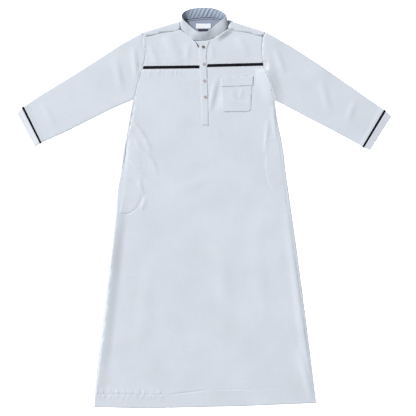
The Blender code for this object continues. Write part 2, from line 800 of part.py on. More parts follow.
def cuff_band(name, cut):
    """The plain band beyond the cuff tape."""
    near = (cut.upper[-1], cut.lower[-1])
    width = math.dist(cut.upper[-1], cut.cuff[0])

    def place(column, station, depth):
        upper = Vector(near[0]).lerp(Vector(cut.cuff[0]), station)
        lower = Vector(near[1]).lerp(Vector(cut.cuff[1]), station)
        across, height = tube_section(column, (lower - upper).length, WALL * depth)
        point = upper.lerp(lower, across / (lower - upper).length)
        return Vector((point.x, point.y, height + lifted(width * station)))

    return cloth_piece(name, tube_columns(steps(0.0, 1.0, CUFF_COLUMNS)),
                       joined(steps(SEAM_GAP / width, 0.34, 1), steps(0.34, 1.0, 3)), place, CUFF_CLOTH)


def cuff_edge(cut, distance):
    """Both outline points of the sleeve and its band, at a distance beyond the cuff seam."""
    if distance < 0.0:
        share = 1.0 + distance / math.dist(cut.upper[0], cut.upper[-1])
        return along(cut.upper, share), along(cut.lower, share)
    share = distance / math.dist(cut.upper[-1], cut.cuff[0])
    upper = Vector(cut.upper[-1]).lerp(Vector(cut.cuff[0]), share)
    lower = Vector(cut.lower[-1]).lerp(Vector(cut.cuff[1]), share)
    return upper, lower


def cuff_tape(name, cut):
    """The dark tape round the cuff, over the seam between sleeve and band."""
    spread = WALL + LAYER_GAP
    down = (Vector(cut.lower[-1]) - Vector(cut.upper[-1])).normalized()

    def place(column, station, depth):
        upper, lower = cuff_edge(cut, CUFF_TAPE_WIDTH * (station - 0.5))
        upper -= down * spread
        lower += down * spread
        width = (lower - upper).length
        across, height = tube_section(column, width, WALL * depth, LAY_HEIGHT + 2.0 * spread)
        point = upper.lerp(lower, across / width)
        return Vector((point.x, point.y, height))

    return cloth_piece(name, tube_columns(steps(0.0, 1.0, CUFF_COLUMNS)), steps(0.0, 1.0, 2), place, TAPE)


def chest_tape(name, start, end, slant):
    """The dark tape over the chest seam of one side."""
    half = TAPE_WIDTH / 2
    outline = [(start[0] - slant, start[1] - half), (end[0], end[1] - half), (end[0], end[1] + half),
               (start[0] + slant, start[1] + half)]
    return flat_piece(name, outline, LAY_HEIGHT + LAYER_GAP, WALL, TAPE)


def placket():
    """The placket, from the neck to its square lower end."""
    bottom = LAY_HEIGHT + LAYER_GAP

    def place(u, v, depth):
        count = len(PLACKET_LEFT) - 1
        point = by_index(PLACKET_LEFT, v * count).lerp(by_index(PLACKET_RIGHT, v * count), u)
        return Vector((point.x, point.y, bottom + WALL * (1.0 - depth)))

    rows = steps(0.0, 1.0, 2 * (len(PLACKET_LEFT) - 1))
    return cloth_piece("placket", steps(0.0, 1.0, 2), rows, place, CLOTH)


def arc(centre, radius, start, end, count):
    """Points of an arc, with angles in degrees."""
    angles = [math.radians(a) for a in steps(start, end, count)]
    return [(centre[0] + radius * math.cos(a), centre[1] + radius * math.sin(a)) for a in angles]


def chest_pocket():
    """The patch pocket and the band turned out at its mouth."""
    tilt = POCKET_RISE / (POCKET_RIGHT - POCKET_LEFT)
    bottom = LAY_HEIGHT + LAYER_GAP
    body = [
        (POCKET_RIGHT, POCKET_TOP + POCKET_RISE),
        (POCKET_LEFT, POCKET_TOP),
        *arc((POCKET_LEFT + 6 + POCKET_ROUND, POCKET_BOTTOM + POCKET_ROUND), POCKET_ROUND, 180, 270, 5),
        (POCKET_RIGHT - 17, POCKET_BOTTOM + 1.5),
        *arc((POCKET_RIGHT - 17, POCKET_BOTTOM + 12.5), 11.0, 300, 345, 3),
    ]
    flat_piece("chest_pocket", body, bottom, WALL, CLOTH)
    band = [
        (POCKET_LEFT + 1.2, POCKET_TOP + 2 + tilt * 1.2),
        (POCKET_LEFT + 4.2, POCKET_TOP - POCKET_BAND_DEPTH),
        (POCKET_RIGHT + 1.6, POCKET_TOP + POCKET_RISE - POCKET_BAND_DEPTH),
        (POCKET_RIGHT + 2.6, POCKET_TOP + POCKET_RISE + 3),
    ]
    flat_piece("chest_pocket_band", band, bottom + WALL + LAYER_GAP, WALL, CLOTH)


def pocket_welt():
    """The narrow welt in the mouth of the open side pocket."""
    def place(u, v, depth):
        level = WELT_LEVELS[0] + (WELT_LEVELS[1] - WELT_LEVELS[0]) * v
        edge = by_index(LEFT_LINE, level)
        width = max(welt_inset(level, 0.0) - 0.5, 0.6)
        rise = EDGE_ROLL + 2.0 * LAYER_GAP + 0.9 * math.sin(0.5 * math.pi * u)
        return Vector((edge.x + width * u, edge.y, rise + WALL * (1.0 - depth)))

    return cloth_piece("pocket_welt_right", steps(0.0, 1.0, 3), [0.06, 0.25, 0.5, 0.75, 0.94], place, CLOTH)


def button(name, centre):
    """A four-hole button with a raised rim, lying on the placket."""
    seat = LAY_HEIGHT + 2.0 * LAYER_GAP + WALL
    bm = bmesh.new()
    radius = BUTTON_DIAMETER / 2
    bmesh.ops.create_cone(bm, cap_ends=True, segments=16, radius1=radius, radius2=radius, depth=BUTTON_THICKNESS)
    top = max(bm.faces, key=lambda face: face.calc_center_median().z)
    bmesh.ops.inset_region(bm, faces=[top], thickness=BUTTON_RIM)
    bmesh.ops.inset_region(bm, faces=[top], thickness=0.5, depth=-0.7)
    bmesh.ops.translate(bm, vec=(centre[0], centre[1], seat + BUTTON_THICKNESS / 2), verts=bm.verts)
    return finish_object(name, bm, SHELL, 0.35)


def collar_line(place, v):
    """A point of the collar's outer face: round it by station, and up it from the neck seam."""
    low = min(max(int(math.floor(place)), 0), len(COLLAR) - 2)
    at = place - low
    before, here, after, beyond = (COLLAR[min(max(low + k, 0), len(COLLAR) - 1)] for k in (-1, 0, 1, 2))

    def spline(pick):
        a, b, c, d = (pick(item) for item in (before, here, after, beyond))
        bend = 2 * a - 5 * b + 4 * c - d
        twist = 3 * b - a - 3 * c + d
        return 0.5 * (2 * b + (c - a) * at + bend * at ** 2 + twist * at ** 3)

    seam = Vector((spline(lambda s: s.seam_x), spline(lambda s: s.seam_y), spline(lambda s: s.rise)))
    top = Vector((spline(lambda s: s.top_x), spline(lambda s: s.top_y)))
    stand = spline(lambda s: s.stand)
    bow = COLLAR_BOW * math.sin(math.pi * v)
    plan = seam.xy.lerp(top, v)
    return Vector((plan.x, plan.y, seam.z + stand * v + bow))


def collar_face(place, v):
    """The collar's outer face with the puckers of its gathered back."""
    point = collar_line(place, v)
    start, end = PUCKERED
    share = (place + PUCKER_SLANT * (v - 0.5) - start) / (end - start)
    if 0.0 < share < 1.0:
        wave = math.sin(math.pi * PUCKER_COUNT * share) ** 2
        point.z += PUCKER_DEPTH * wave * math.sin(math.pi * share) ** 0.5 * (0.35 + 0.65 * v)
    return point


def collar():
    """The stand collar, a band round the neck whose left end laps over the right."""
    nudge = 0.02

    def place(u, v, depth):
        point = collar_face(u, v)
        around = collar_line(u + nudge, v) - collar_line(u - nudge, v)
        up = collar_line(u, v + nudge) - collar_line(u, v - nudge)
        inward = up.cross(around).normalized()
        return point + inward * COLLAR_WALL * depth

    start, end = PUCKERED
    last = len(COLLAR) - 1
    columns = joined(steps(0, start, COLLAR_STEPS_PLAIN * start),
                     steps(start, end, COLLAR_STEPS_PUCKERED * (end - start)),
                     steps(end, last, COLLAR_STEPS_PLAIN * (last - end)))
    return cloth_piece("collar", columns, steps(0.0, 1.0, COLLAR_ROWS), place, CLOTH)


def pocket_bag(name, outline):
    """A side pocket's bag, between front and back."""
    flat_piece(name, outline, WALL + LAYER_GAP, BAG_WALL, CLOTH)


def build():
    """Clears the scene and makes every piece of the thobe."""
    for item in list(bpy.data.objects):
        bpy.data.objects.remove(item)
    back()
    lower_front()
    front_upper("front_upper_right", ARMHOLE_LEFT, FORWARD_LEFT, NECK_LEFT, -4.0, -1.0)
    front_upper("front_upper_left", ARMHOLE_RIGHT, FORWARD_RIGHT, NECK_RIGHT, 4.0, 1.0)
    for side, cut in (("right", SLEEVE_LEFT), ("left", SLEEVE_RIGHT)):
        sleeve(f"sleeve_{side}", cut)
        cuff_tape(f"cuff_tape_{side}", cut)
        cuff_band(f"cuff_band_{side}", cut)
    chest_tape("chest_tape_right", (-225.4, 519.6), (-16.6, 522.2), 1.6)
    chest_tape("chest_tape_left", (12.2, 526.5), (218.0, 531.8), 1.0)
    placket()
    for number, centre in enumerate(BUTTONS, start=1):
        button(f"button_{number}", centre)
    collar()
    chest_pocket()
    pocket_welt()
    pocket_bag("pocket_bag_right", BAG_LEFT)
    pocket_bag("pocket_bag_left", BAG_RIGHT)
    flat_piece("neck_label", box_outline(NECK_LABEL), WALL + LAYER_GAP, WALL, WHITE)
    flat_piece("size_tab", box_outline(SIZE_TAB), WALL + LAYER_GAP, WALL, TAPE)


build()
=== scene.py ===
"""Looks of a men's thobe robe, laid flat on its back with the sleeves spread.

Every piece of cloth is a thin shell cut from the skin of its solid, divided finely, and given its
folds, gathers and seam puckers. Tables are in millimetres in the frame of the solids: the hem is
toward -Y, the collar toward +Y, and the wearer's right is toward -X.
"""

import logging
import math
from dataclasses import dataclass, field
from enum import Enum
from typing import NamedTuple, Sequence

import bmesh
import bpy
import numpy as np
from mathutils import Matrix, Vector, noise
from mathutils.bvhtree import BVHTree


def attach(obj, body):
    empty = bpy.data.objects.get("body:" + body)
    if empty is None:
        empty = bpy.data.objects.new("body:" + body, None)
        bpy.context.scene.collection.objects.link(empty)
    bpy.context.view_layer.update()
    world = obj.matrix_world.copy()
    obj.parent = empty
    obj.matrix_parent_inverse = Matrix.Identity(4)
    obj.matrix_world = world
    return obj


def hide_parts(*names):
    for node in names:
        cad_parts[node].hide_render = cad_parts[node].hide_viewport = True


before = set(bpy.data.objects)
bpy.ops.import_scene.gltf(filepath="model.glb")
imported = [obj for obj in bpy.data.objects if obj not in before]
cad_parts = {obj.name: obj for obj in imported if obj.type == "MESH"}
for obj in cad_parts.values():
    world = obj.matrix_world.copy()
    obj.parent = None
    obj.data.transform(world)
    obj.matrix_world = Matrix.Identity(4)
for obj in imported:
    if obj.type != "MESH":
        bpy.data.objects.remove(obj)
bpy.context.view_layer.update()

LOG = logging.getLogger("thobe")
MM = 0.001
LAY_HEIGHT = 5.0
LAYER_SPLIT = 3.6
FAR = 999.0
RAY_START = 60.0
Point = tuple[float, float]
Colour = tuple[float, float, float]
Socket = bpy.types.NodeSocket


class Grain(Enum):
    """How the threads of a piece run, as degrees that its weave is turned by."""
    STRAIGHT = 0.0
    RIGHT_SLEEVE = 30.5
    LEFT_SLEEVE = -31.5


class Side(Enum):
    """From which side a row of stitches is sewn on."""
    ABOVE = 1.0
    BELOW = -1.0


class Fold(NamedTuple):
    """A soft ridge from one point to another, with the reach of its left and right flank."""
    x0: float
    y0: float
    x1: float
    y1: float
    left: float
    right: float
    height: float

    def lift(self, x: np.ndarray, y: np.ndarray) -> np.ndarray:
        """How far the fold lifts the cloth.

        Args:
            x, y: places in millimetres.

        Returns:
            One height for each place.
        """
        run_x, run_y = self.x1 - self.x0, self.y1 - self.y0
        length = math.hypot(run_x, run_y)
        share = ((x - self.x0) * run_x + (y - self.y0) * run_y) / length ** 2
        offset = (run_x * (y - self.y0) - run_y * (x - self.x0)) / length
        width = np.where(offset > 0, self.left, self.right)
        flank = np.cos(0.5 * math.pi * np.clip(offset / width, -1.0, 1.0)) ** 2
        ends = np.sin(math.pi * np.clip(share, 0.0, 1.0)) ** 0.8
        return self.height * flank * ends


class Gather(NamedTuple):
    """A row of small puckers held by a seam: where it runs, how many, how long and how high."""
    x0: float
    y0: float
    x1: float
    y1: float
    count: int
    length: float
    height: float

    def lift(self, x: np.ndarray, y: np.ndarray) -> np.ndarray:
        """How far the puckers, which are uneven in place, length and height, lift the cloth.

        Args:
            x, y: places in millimetres.

        Returns:
            One height for each place.
        """
        run_x, run_y = self.x1 - self.x0, self.y1 - self.y0
        share = ((x - self.x0) * run_x + (y - self.y0) * run_y) / (run_x ** 2 + run_y ** 2)
        down = (self.y0 + share * run_y - y) / self.length
        along = share * self.count + 0.32 * np.sin(2.9 * share * self.count) + 0.45 * down
        number = np.floor(along)
        wave = (0.5 - 0.5 * np.cos(2.0 * math.pi * along)) * (0.75 + 0.25 * np.sin(1.7 * number + 0.4))
        reach = 0.62 + 0.38 * np.sin(2.3 * number + 1.0) ** 2
        fade = smooth(1.0 - down / reach) * smooth(down * 8.0 + 0.2)
        held = (share > 0.0) & (share < 1.0) & (down >= 0.0) & (down < 1.0)
        return np.where(held, self.height * wave * fade, 0.0)


class Pull(NamedTuple):
    """A place where cloth is drawn aside: its middle, how far it moves there, and how far that reaches."""
    x: float
    y: float
    move_x: float
    move_y: float
    reach: float


class Rest(NamedTuple):
    """A rectangle of the front: one that lies flat under a stitched piece, or one of finer cells."""
    x0: float
    y0: float
    x1: float
    y1: float

    def away(self, x: np.ndarray, y: np.ndarray) -> np.ndarray:
        """How far each place lies outside it."""
        return np.hypot(np.maximum(np.maximum(self.x0 - x, x - self.x1), 0.0),
                        np.maximum(np.maximum(self.y0 - y, y - self.y1), 0.0))

    def holds(self, places: np.ndarray) -> np.ndarray:
        """Whether each place lies in it, on the upper layer."""
        x, y, z = places.T
        return (x > self.x0) & (x < self.x1) & (y > self.y0) & (y < self.y1) & (z > LAYER_SPLIT)


class Bag(NamedTuple):
    """A pocket bag that shows through the front: its height, its seam's groove, and the groove's top."""
    show: float
    groove: float
    below: float
    outline: tuple[Point, ...]

    def lift(self, x: np.ndarray, y: np.ndarray) -> np.ndarray:
        """How far the bag lifts the cloth, less the groove round it.

        Args:
            x, y: places in millimetres.

        Returns:
            One height for each place.
        """
        depth = inside(self.outline, x, y)
        groove = self.groove * np.exp(-(depth / BAG_GROOVE_REACH) ** 2) * smooth((self.below - y) / BAG_FADE)
        return self.show * smooth(depth / BAG_EDGE) - groove


UPPER_FOLDS = tuple(Fold(*row) for row in (
    # ridges over both side seams, and the hem corner
    (-316, 60, -401.5, -712, 44, 3.5, 7.5), (-318, 20, -352, -280, 40, 3.5, 3.0),
    (304, 20, 401, -700, 9, 28, 3.4), (350, -520, 402, -712, 12, 24, 2.6),
    # drag lines from the right armpit and the open pocket
    (-268, 330, -222, 262, 8, 9, 3.4), (-240, 306, -192, 206, 9, 12, 2.4),
    (-258, 250, -204, 186, 7, 9, 3.0), (-214, 218, -168, 124, 10, 13, 2.2),
    (-278, 178, -210, 116, 7, 9, 3.0), (-304, 122, -266, 100, 6, 7, 2.2), (-242, 106, -222, 48, 8, 9, 2.6),
    (-214, 40, -232, -10, 10, 12, 2.0), (236, 330, 226, 190, 12, 12, 2.0),
    # the left armhole's seam stands up, with a hollow on the sleeve's side
    (214, 552, 268, 384, 44, 48, 7.5), (224, 520, 268, 392, 14, 8, 2.4), (252, 385, 266, 250, 12, 10, 2.2),
    # front yokes
    (-206, 604, -166, 528, 18, 20, 2.0), (-146, 636, -84, 536, 34, 34, 3.2),
    (-58, 612, -64, 536, 18, 20, 1.5),
    # the cloth that bulges out below the left base of the collar
    (40, 628, 101, 671, 3, 24, 9.0), (26, 606, 34, 548, 14, 18, 1.2), (120, 634, 168, 560, 24, 24, 2.0),
    # fine lines beside the placket and across the skirt
    (-26, 470, -46, 420, 6, 8, 1.1), (-22, 300, -30, 352, 6, 7, 1.0), (44, 300, 62, 262, 7, 9, 1.2),
    (-120, 60, 40, 118, 26, 30, 0.9), (60, -120, 84, -420, 44, 40, 1.1),
    (-200, -180, -236, -520, 44, 40, 1.2), (180, -60, 236, -460, 38, 44, 1.0),
    # the upper edge of the turned-up hem
    (-139, -692, 24, -672, 5, 5, -1.4), (20, -672, 330, -670, 5, 5, -0.7),
    # sleeves
    (-262, 600, -246, 470, 16, 20, 2.6), (-330, 560, -300, 430, 18, 24, 2.2),
    (-600, 385, -545, 300, 16, 22, 2.0), (262, 590, 300, 500, 16, 20, 2.4),
    (430, 480, 468, 350, 20, 24, 1.8), (560, 400, 530, 320, 18, 18, 1.8),
))
CREASES = tuple(Fold(*row) for row in (
    # the turned-out lip of the slit beside the placket's top
    (-41.5, 622, -22, 596, 2.4, 5.5, 5.0),
    # hollows along the upper side seams, with a low ridge beside the right one
    (-253.5, 412, -282.5, 262, 3.2, 3.2, -3.4), (-247, 408, -276, 262, 5, 10, 1.2),
    (257, 410, 272, 300, 2.6, 2.6, -2.6),
    # a fold and a hollow beside the placket
    (43, 484, 16, 350, 20, 10, 1.3), (66, 484, 36, 350, 27, 18, -2.2),
    # the open side pocket's two edges
    (-282, 262, -297, 138, 6, 2.4, -2.8), (-288, 258, -302, 138, 3, 3, 1.4),
    # a narrow ridge and a hollow at the top of the right armhole, and a hollow at the left one
    (-221, 652, -214, 560, 4, 4, 1.4), (-226, 652, -220, 560, 4, 4, -1.6), (219, 652, 215, 560, 4, 4, -1.4),
))
UNDER_FOLDS = tuple(Fold(*row) for row in (
    (-250, 330, -60, -60, 22, 26, 1.6), (240, 320, 90, -40, 24, 22, 1.5),
    (-180, -160, -250, -640, 24, 28, 1.4), (150, -120, 236, -640, 26, 24, 1.5),
    (10, 420, -20, -420, 30, 24, 1.2), (-170, 600, 30, 520, 18, 20, 1.3),
    (-420, 480, -400, 350, 20, 18, 1.2), (400, 500, 430, 340, 18, 20, 1.2),
))
GATHERS = tuple(Gather(*row) for row in (
    (-206, 511, -88, 512, 5, 44, 1.1), (-194, 511, -60, 512, 8, 24, 0.7), (-88, 526, -30, 526, 3, -34, 1.0),
    (-398, -686, -160, -690, 17, -36, 2.2), (-390, -690, -150, -692, 19, 28, 1.8),
    (30, -682, 160, -679, 7, -22, 1.0),
))
RESTS = tuple(Rest(*row) for row in (
    (-240, 513, -14, 529), (8, 517, 232, 540), (-30, 298, 17, 627), (50, 345, 190, 500),
))
# where the lower front has finer cells: below the chest seam, beside the placket, at the hem and the bags
FINE_PLACES = tuple(Rest(*row) for row in (
    (-215, 455, -40, 520), (15, 345, 70, 485), (-405, -735, 170, -650), (-320, -30, -222, 50),
    (222, 0, 312, 270),
))
SLIT_PLACE = Rest(-52, 586, -10, 628)
SLIT_PULL = Pull(-31, 610, 2.6, 1.9, 13.0)
COLLAR_BASE_PLACE = Rest(36, 616, 112, 672)
REST_FADE = 9.0
CRUMPLE_REACH = 16.0
POCKET_BAG_RIGHT = Bag(0.8, 1.0, 30.0, (
    (-276, 262), (-240, 252), (-226, 120), (-232, 40), (-240.5, 14.8), (-254.2, -5.6), (-273.8, -18.5),
    (-291.2, -24.1), (-314, -20.4),
))
POCKET_BAG_LEFT = Bag(0.7, 0.25, 300.0, (
    (278, 262), (236.8, 266.4), (227.9, 203.5), (225.3, 170.2), (226.8, 140.6), (236.1, 92.5),
    (247.2, 65.1), (271.6, 37.7), (293, 13.3), (310, 1),
))
BAG_EDGE = 6.0
BAG_FADE = 40.0
BAG_GROOVE_REACH = 2.2
CUFF_SEAMS = {"right": ((-670.4, 373), (-604.2, 241.2)), "left": ((669.3, 361), (587.9, 225.4))}
SLEEVE_ENDS_FROM = 560.0
CUFF_CALM = 8.0
CUFF_LIFT_REACH = 26.0


def smooth(value: np.ndarray | float) -> np.ndarray:
    """Eases values from 0 to 1."""
    clamped = np.clip(value, 0.0, 1.0)
    return clamped * clamped * (3.0 - 2.0 * clamped)


def clouds(x: np.ndarray, y: np.ndarray, reach: float, seed: float) -> np.ndarray:
    """Smooth noise from -1 to 1.

    Args:
        x, y: places in millimetres.
        reach: size of its waves in millimetres.
        seed: moves the pattern.

    Returns:
        One value for each place.
    """
    return np.array([noise.noise((a / reach, b / reach, seed)) for a, b in zip(x.tolist(), y.tolist())])


def line_distance(points: np.ndarray, lines: np.ndarray) -> np.ndarray:
    """How far points are from the nearest of many short lines.

    Args:
        points: one place a row.
        lines: one line a row, as the places of its two ends.

    Returns:
        One distance for each point.
    """
    start, run = lines[:, :2], lines[:, 2:] - lines[:, :2]
    squared = np.maximum((run ** 2).sum(axis=1), 1e-9)
    nearest = np.full(len(points), 1e9)
    for first in range(0, len(points), 4000):
        block = points[first:first + 4000, None, :] - start[None]
        share = np.clip((block * run[None]).sum(axis=2) / squared, 0.0, 1.0)
        gap = block - share[..., None] * run[None]
        nearest[first:first + 4000] = np.sqrt((gap ** 2).sum(axis=2).min(axis=1))
    return nearest


def inside(outline: Sequence[Point], x: np.ndarray, y: np.ndarray) -> np.ndarray:
    """How far places lie inside a closed outline.

    Args:
        outline: its corners in order.
        x, y: places in millimetres.

    Returns:
        One distance for each place, less than 0 outside.
    """
    ends = list(outline[1:]) + [outline[0]]
    within = np.zeros(len(x), dtype=bool)
    for (ax, ay), (bx, by) in zip(outline, ends):
        if ay != by:
            within ^= ((ay > y) != (by > y)) & (x < ax + (y - ay) * (bx - ax) / (by - ay))
    lines = np.array([(*start, *end) for start, end in zip(outline, ends)], dtype=float)
    return np.where(within, 1.0, -1.0) * line_distance(np.stack((x, y), axis=1), lines)


def from_cuffs(x: np.ndarray, y: np.ndarray) -> np.ndarray:
    """How far places are from the nearer cuff seam.

    Args:
        x, y: places in millimetres.

    Returns:
        One distance for each place, greater than 0 toward the body, and very long off the sleeves.
    """
    gaps = []
    for side, out in (("right", -1.0), ("left", 1.0)):
        (ax, ay), (bx, by) = CUFF_SEAMS[side]
        length = math.hypot(bx - ax, by - ay)
        gaps.append(out * ((bx - ax) * (y - ay) - (by - ay) * (x - ax)) / length)
    return np.where(np.abs(x) < SLEEVE_ENDS_FROM, FAR, -np.maximum(gaps[0], gaps[1]))


@dataclass(frozen=True)
class Relief:
    """How far one layer of cloth stands off its flat lay."""
    folds: tuple[Fold, ...] = ()
    gathers: tuple[Gather, ...] = ()
    rests: tuple[Rest, ...] = ()
    bags: tuple[Bag, ...] = ()
    creases: tuple[Fold, ...] = ()
    drape: float = 0.8
    drape_reach: float = 85.0
    crumple: float = 0.12
    seed: float = 3.7

    def calm(self, x: np.ndarray, y: np.ndarray) -> np.ndarray:
        """How free the cloth is.

        Args:
            x, y: places in millimetres.

        Returns:
            One value for each place, from 0 under a stitched piece to 1.
        """
        free = np.ones_like(x)
        for rest in self.rests:
            free = np.minimum(free, smooth(rest.away(x, y) / REST_FADE))
        return np.minimum(free, smooth((from_cuffs(x, y) - CUFF_CALM) / CUFF_LIFT_REACH))

    def height(self, x: np.ndarray, y: np.ndarray) -> np.ndarray:
        """Height of the whole relief.

        Args:
            x, y: places in millimetres.

        Returns:
            One height for each place.
        """
        total = self.drape * clouds(x, y, self.drape_reach, self.seed)
        total += self.crumple * clouds(x, y, CRUMPLE_REACH, self.seed + 5.0)
        for shape in (*self.folds, *self.gathers, *self.bags):
            total += shape.lift(x, y)
        total *= self.calm(x, y)
        for crease in self.creases:
            total += crease.lift(x, y)
        return total


@dataclass(frozen=True)
class Finish:
    """A surface finish, which builds one material."""
    name: str

    def material(self) -> bpy.types.Material:
        """Builds the finish."""
        raise NotImplementedError


def shaded(colour: Colour, share: float) -> Colour:
    """A colour made darker or lighter."""
    return tuple(min(channel * share, 1.0) for channel in colour)


@dataclass(frozen=True)
class WovenCloth(Finish):
    """Fine plain-woven cloth with a soft sheen."""
    colour: Colour
    shade: float = 0.94
    thread_mm: float = 0.42
    roughness: float = 0.58
    sheen: float = 0.18
    grain: Grain = Grain.STRAIGHT
    follows_uv: bool = False

    def material(self) -> bpy.types.Material:
        """Builds the finish: warp and weft from two crossed waves, slubs, mottling and crumple.

        Returns:
            The material.
        """
        nodes = Nodes(f"{self.name}_{self.grain.name.lower()}")
        place = nodes.turned_place(self.grain.value, "UV" if self.follows_uv else "Object")
        x, y, _ = nodes.split(place)
        turns = 2.0 * math.pi / (2.0 * self.thread_mm * MM)
        warp = nodes.math("SINE", nodes.math("MULTIPLY", x, turns))
        weft = nodes.math("SINE", nodes.math("MULTIPLY", y, turns))
        over = nodes.math("MULTIPLY", warp, weft)
        thread = nodes.math("ABSOLUTE", over)
        slub = nodes.noise(nodes.stretched(place, (9.0, 420.0, 9.0)), 1.0, 2.0)
        end = nodes.noise(nodes.stretched(place, (420.0, 9.0, 9.0)), 1.0, 2.0)
        mottle = nodes.noise(place, 7.0, 3.0)
        streaks = nodes.math("MULTIPLY_ADD", slub, 0.22, nodes.math("MULTIPLY", end, 0.22))
        mix = nodes.math("MULTIPLY_ADD", over, 0.10, nodes.math("MULTIPLY_ADD", mottle, 0.60, streaks))
        dark, light = shaded(self.colour, self.shade), shaded(self.colour, 2.0 - self.shade)
        nodes.link("Base Color", nodes.ramp(mix, ((0.30, dark), (0.74, light))))
        nodes.link("Roughness", nodes.spread(mottle, self.roughness - 0.05, self.roughness + 0.07))
        crumple = nodes.noise(place, 38.0, 4.0)
        rough = nodes.math("MULTIPLY_ADD", crumple, 1.0, nodes.math("MULTIPLY", slub, 0.25))
        bump = nodes.bump(rough, 0.30, 0.0010)
        nodes.link("Normal", nodes.bump(thread, 0.35, 0.00008, bump))
        nodes.set(**{"Sheen Weight": self.sheen, "Sheen Roughness": 0.35, "Specular IOR Level": 0.42})
        return nodes.material


@dataclass(frozen=True)
class RibbedTape(Finish):
    """Near-black woven tape with cross ribs and a denser edge."""
    colour: Colour = (0.005, 0.005, 0.008)
    rib_mm: float = 0.9
    grain: Grain = Grain.STRAIGHT

    def material(self) -> bpy.types.Material:
        """Builds the finish: ribs across the tape, fine threads and a little dust-grey wear.

        Returns:
            The material.
        """
        nodes = Nodes(f"{self.name}_{self.grain.name.lower()}")
        place = nodes.turned_place(self.grain.value)
        x, y, _ = nodes.split(place)
        rib = nodes.math("SINE", nodes.math("MULTIPLY", x, 2.0 * math.pi / (self.rib_mm * MM)))
        thread = nodes.math("SINE", nodes.math("MULTIPLY", y, 2.0 * math.pi / (0.45 * self.rib_mm * MM)))
        wear = nodes.noise(place, 55.0, 3.0)
        worn = tuple(channel * 1.8 + 0.002 for channel in self.colour)
        nodes.link("Base Color", nodes.ramp(wear, ((0.42, self.colour), (0.75, worn))))
        nodes.link("Roughness", nodes.spread(wear, 0.55, 0.75))
        both = nodes.math("MULTIPLY_ADD", rib, 1.0, nodes.math("MULTIPLY", thread, 0.35))
        nodes.link("Normal", nodes.bump(both, 0.5, 0.00015))
        nodes.set(**{"Specular IOR Level": 0.05})
        return nodes.material


@dataclass(frozen=True)
class PearlShell(Finish):
    """Polished button shell, pinkish brown with pale drifts."""
    colour: Colour
    drift: Colour

    def material(self) -> bpy.types.Material:
        """Builds the finish: drifting bands, a clear polish and faint scratches.

        Returns:
            The material.
        """
        nodes = Nodes(self.name)
        place = nodes.turned_place(0.0)
        bend = nodes.noise(place, 240.0, 3.0)
        bands = nodes.noise(nodes.stretched(place, (160.0, 420.0, 160.0)), 1.0, 4.0)
        mix = nodes.math("MULTIPLY_ADD", bend, 0.5, nodes.math("MULTIPLY", bands, 0.5))
        dark = shaded(self.colour, 0.6)
        nodes.link("Base Color", nodes.ramp(mix, ((0.35, dark), (0.5, self.colour), (0.68, self.drift))))
        nodes.link("Roughness", nodes.spread(bend, 0.16, 0.32))
        nodes.link("Normal", nodes.bump(nodes.noise(place, 1500.0, 2.0), 0.06, 0.0002))
        nodes.set(**{"Coat Weight": 0.5, "Coat Roughness": 0.12})
        return nodes.material


@dataclass(frozen=True)
class SatinLabel(Finish):
    """Woven satin, blank, with fine threads along it."""
    colour: Colour

    def material(self) -> bpy.types.Material:
        """Builds the finish: long satin floats and a soft gloss.

        Returns:
            The material.
        """
        nodes = Nodes(self.name)
        place = nodes.turned_place(0.0)
        floats = nodes.noise(nodes.stretched(place, (90.0, 3200.0, 90.0)), 1.0, 2.0)
        dark = shaded(self.colour, 0.88)
        nodes.link("Base Color", nodes.ramp(floats, ((0.35, dark), (0.65, self.colour))))
        nodes.link("Roughness", nodes.spread(floats, 0.34, 0.5))
        nodes.link("Normal", nodes.bump(floats, 0.25, 0.0001))
        nodes.set(**{"Sheen Weight": 0.2})
        return nodes.material


@dataclass(frozen=True)
class SewingThread(Finish):
    """Twisted sewing thread."""
    colour: Colour

    def material(self) -> bpy.types.Material:
        """Builds the finish: fine ply lines and uneven dye.

        Returns:
            The material.
        """
        nodes = Nodes(self.name)
        place = nodes.turned_place(38.0)
        ply = nodes.noise(nodes.stretched(place, (9000.0, 1500.0, 1500.0)), 1.0, 1.0)
        dye = nodes.noise(place, 60.0, 2.0)
        dark = shaded(self.colour, 0.8)
        nodes.link("Base Color", nodes.ramp(dye, ((0.35, dark), (0.7, self.colour))))
        nodes.link("Roughness", nodes.spread(dye, 0.4, 0.55))
        nodes.link("Normal", nodes.bump(ply, 0.4, 0.0001))
        return nodes.material


@dataclass(frozen=True)
class PaperFloor(Finish):
    """Seamless white studio floor."""
    tone: float
    glow: float = 0.72

    def material(self) -> bpy.types.Material:
        """Builds the finish: matt white with the faintest fibre, lit from below as on a light table.

        Returns:
            The material.
        """
        nodes = Nodes(self.name)
        fibre = nodes.noise(nodes.turned_place(0.0), 30.0, 3.0)
        low, high = (self.tone - 0.01,) * 3, (self.tone + 0.01,) * 3
        nodes.link("Base Color", nodes.ramp(fibre, ((0.3, low), (0.7, high))))
        nodes.link("Roughness", nodes.spread(fibre, 0.85, 0.95))
        nodes.set(**{"Emission Color": (1.0, 1.0, 1.0, 1.0), "Emission Strength": self.glow})
        return nodes.material


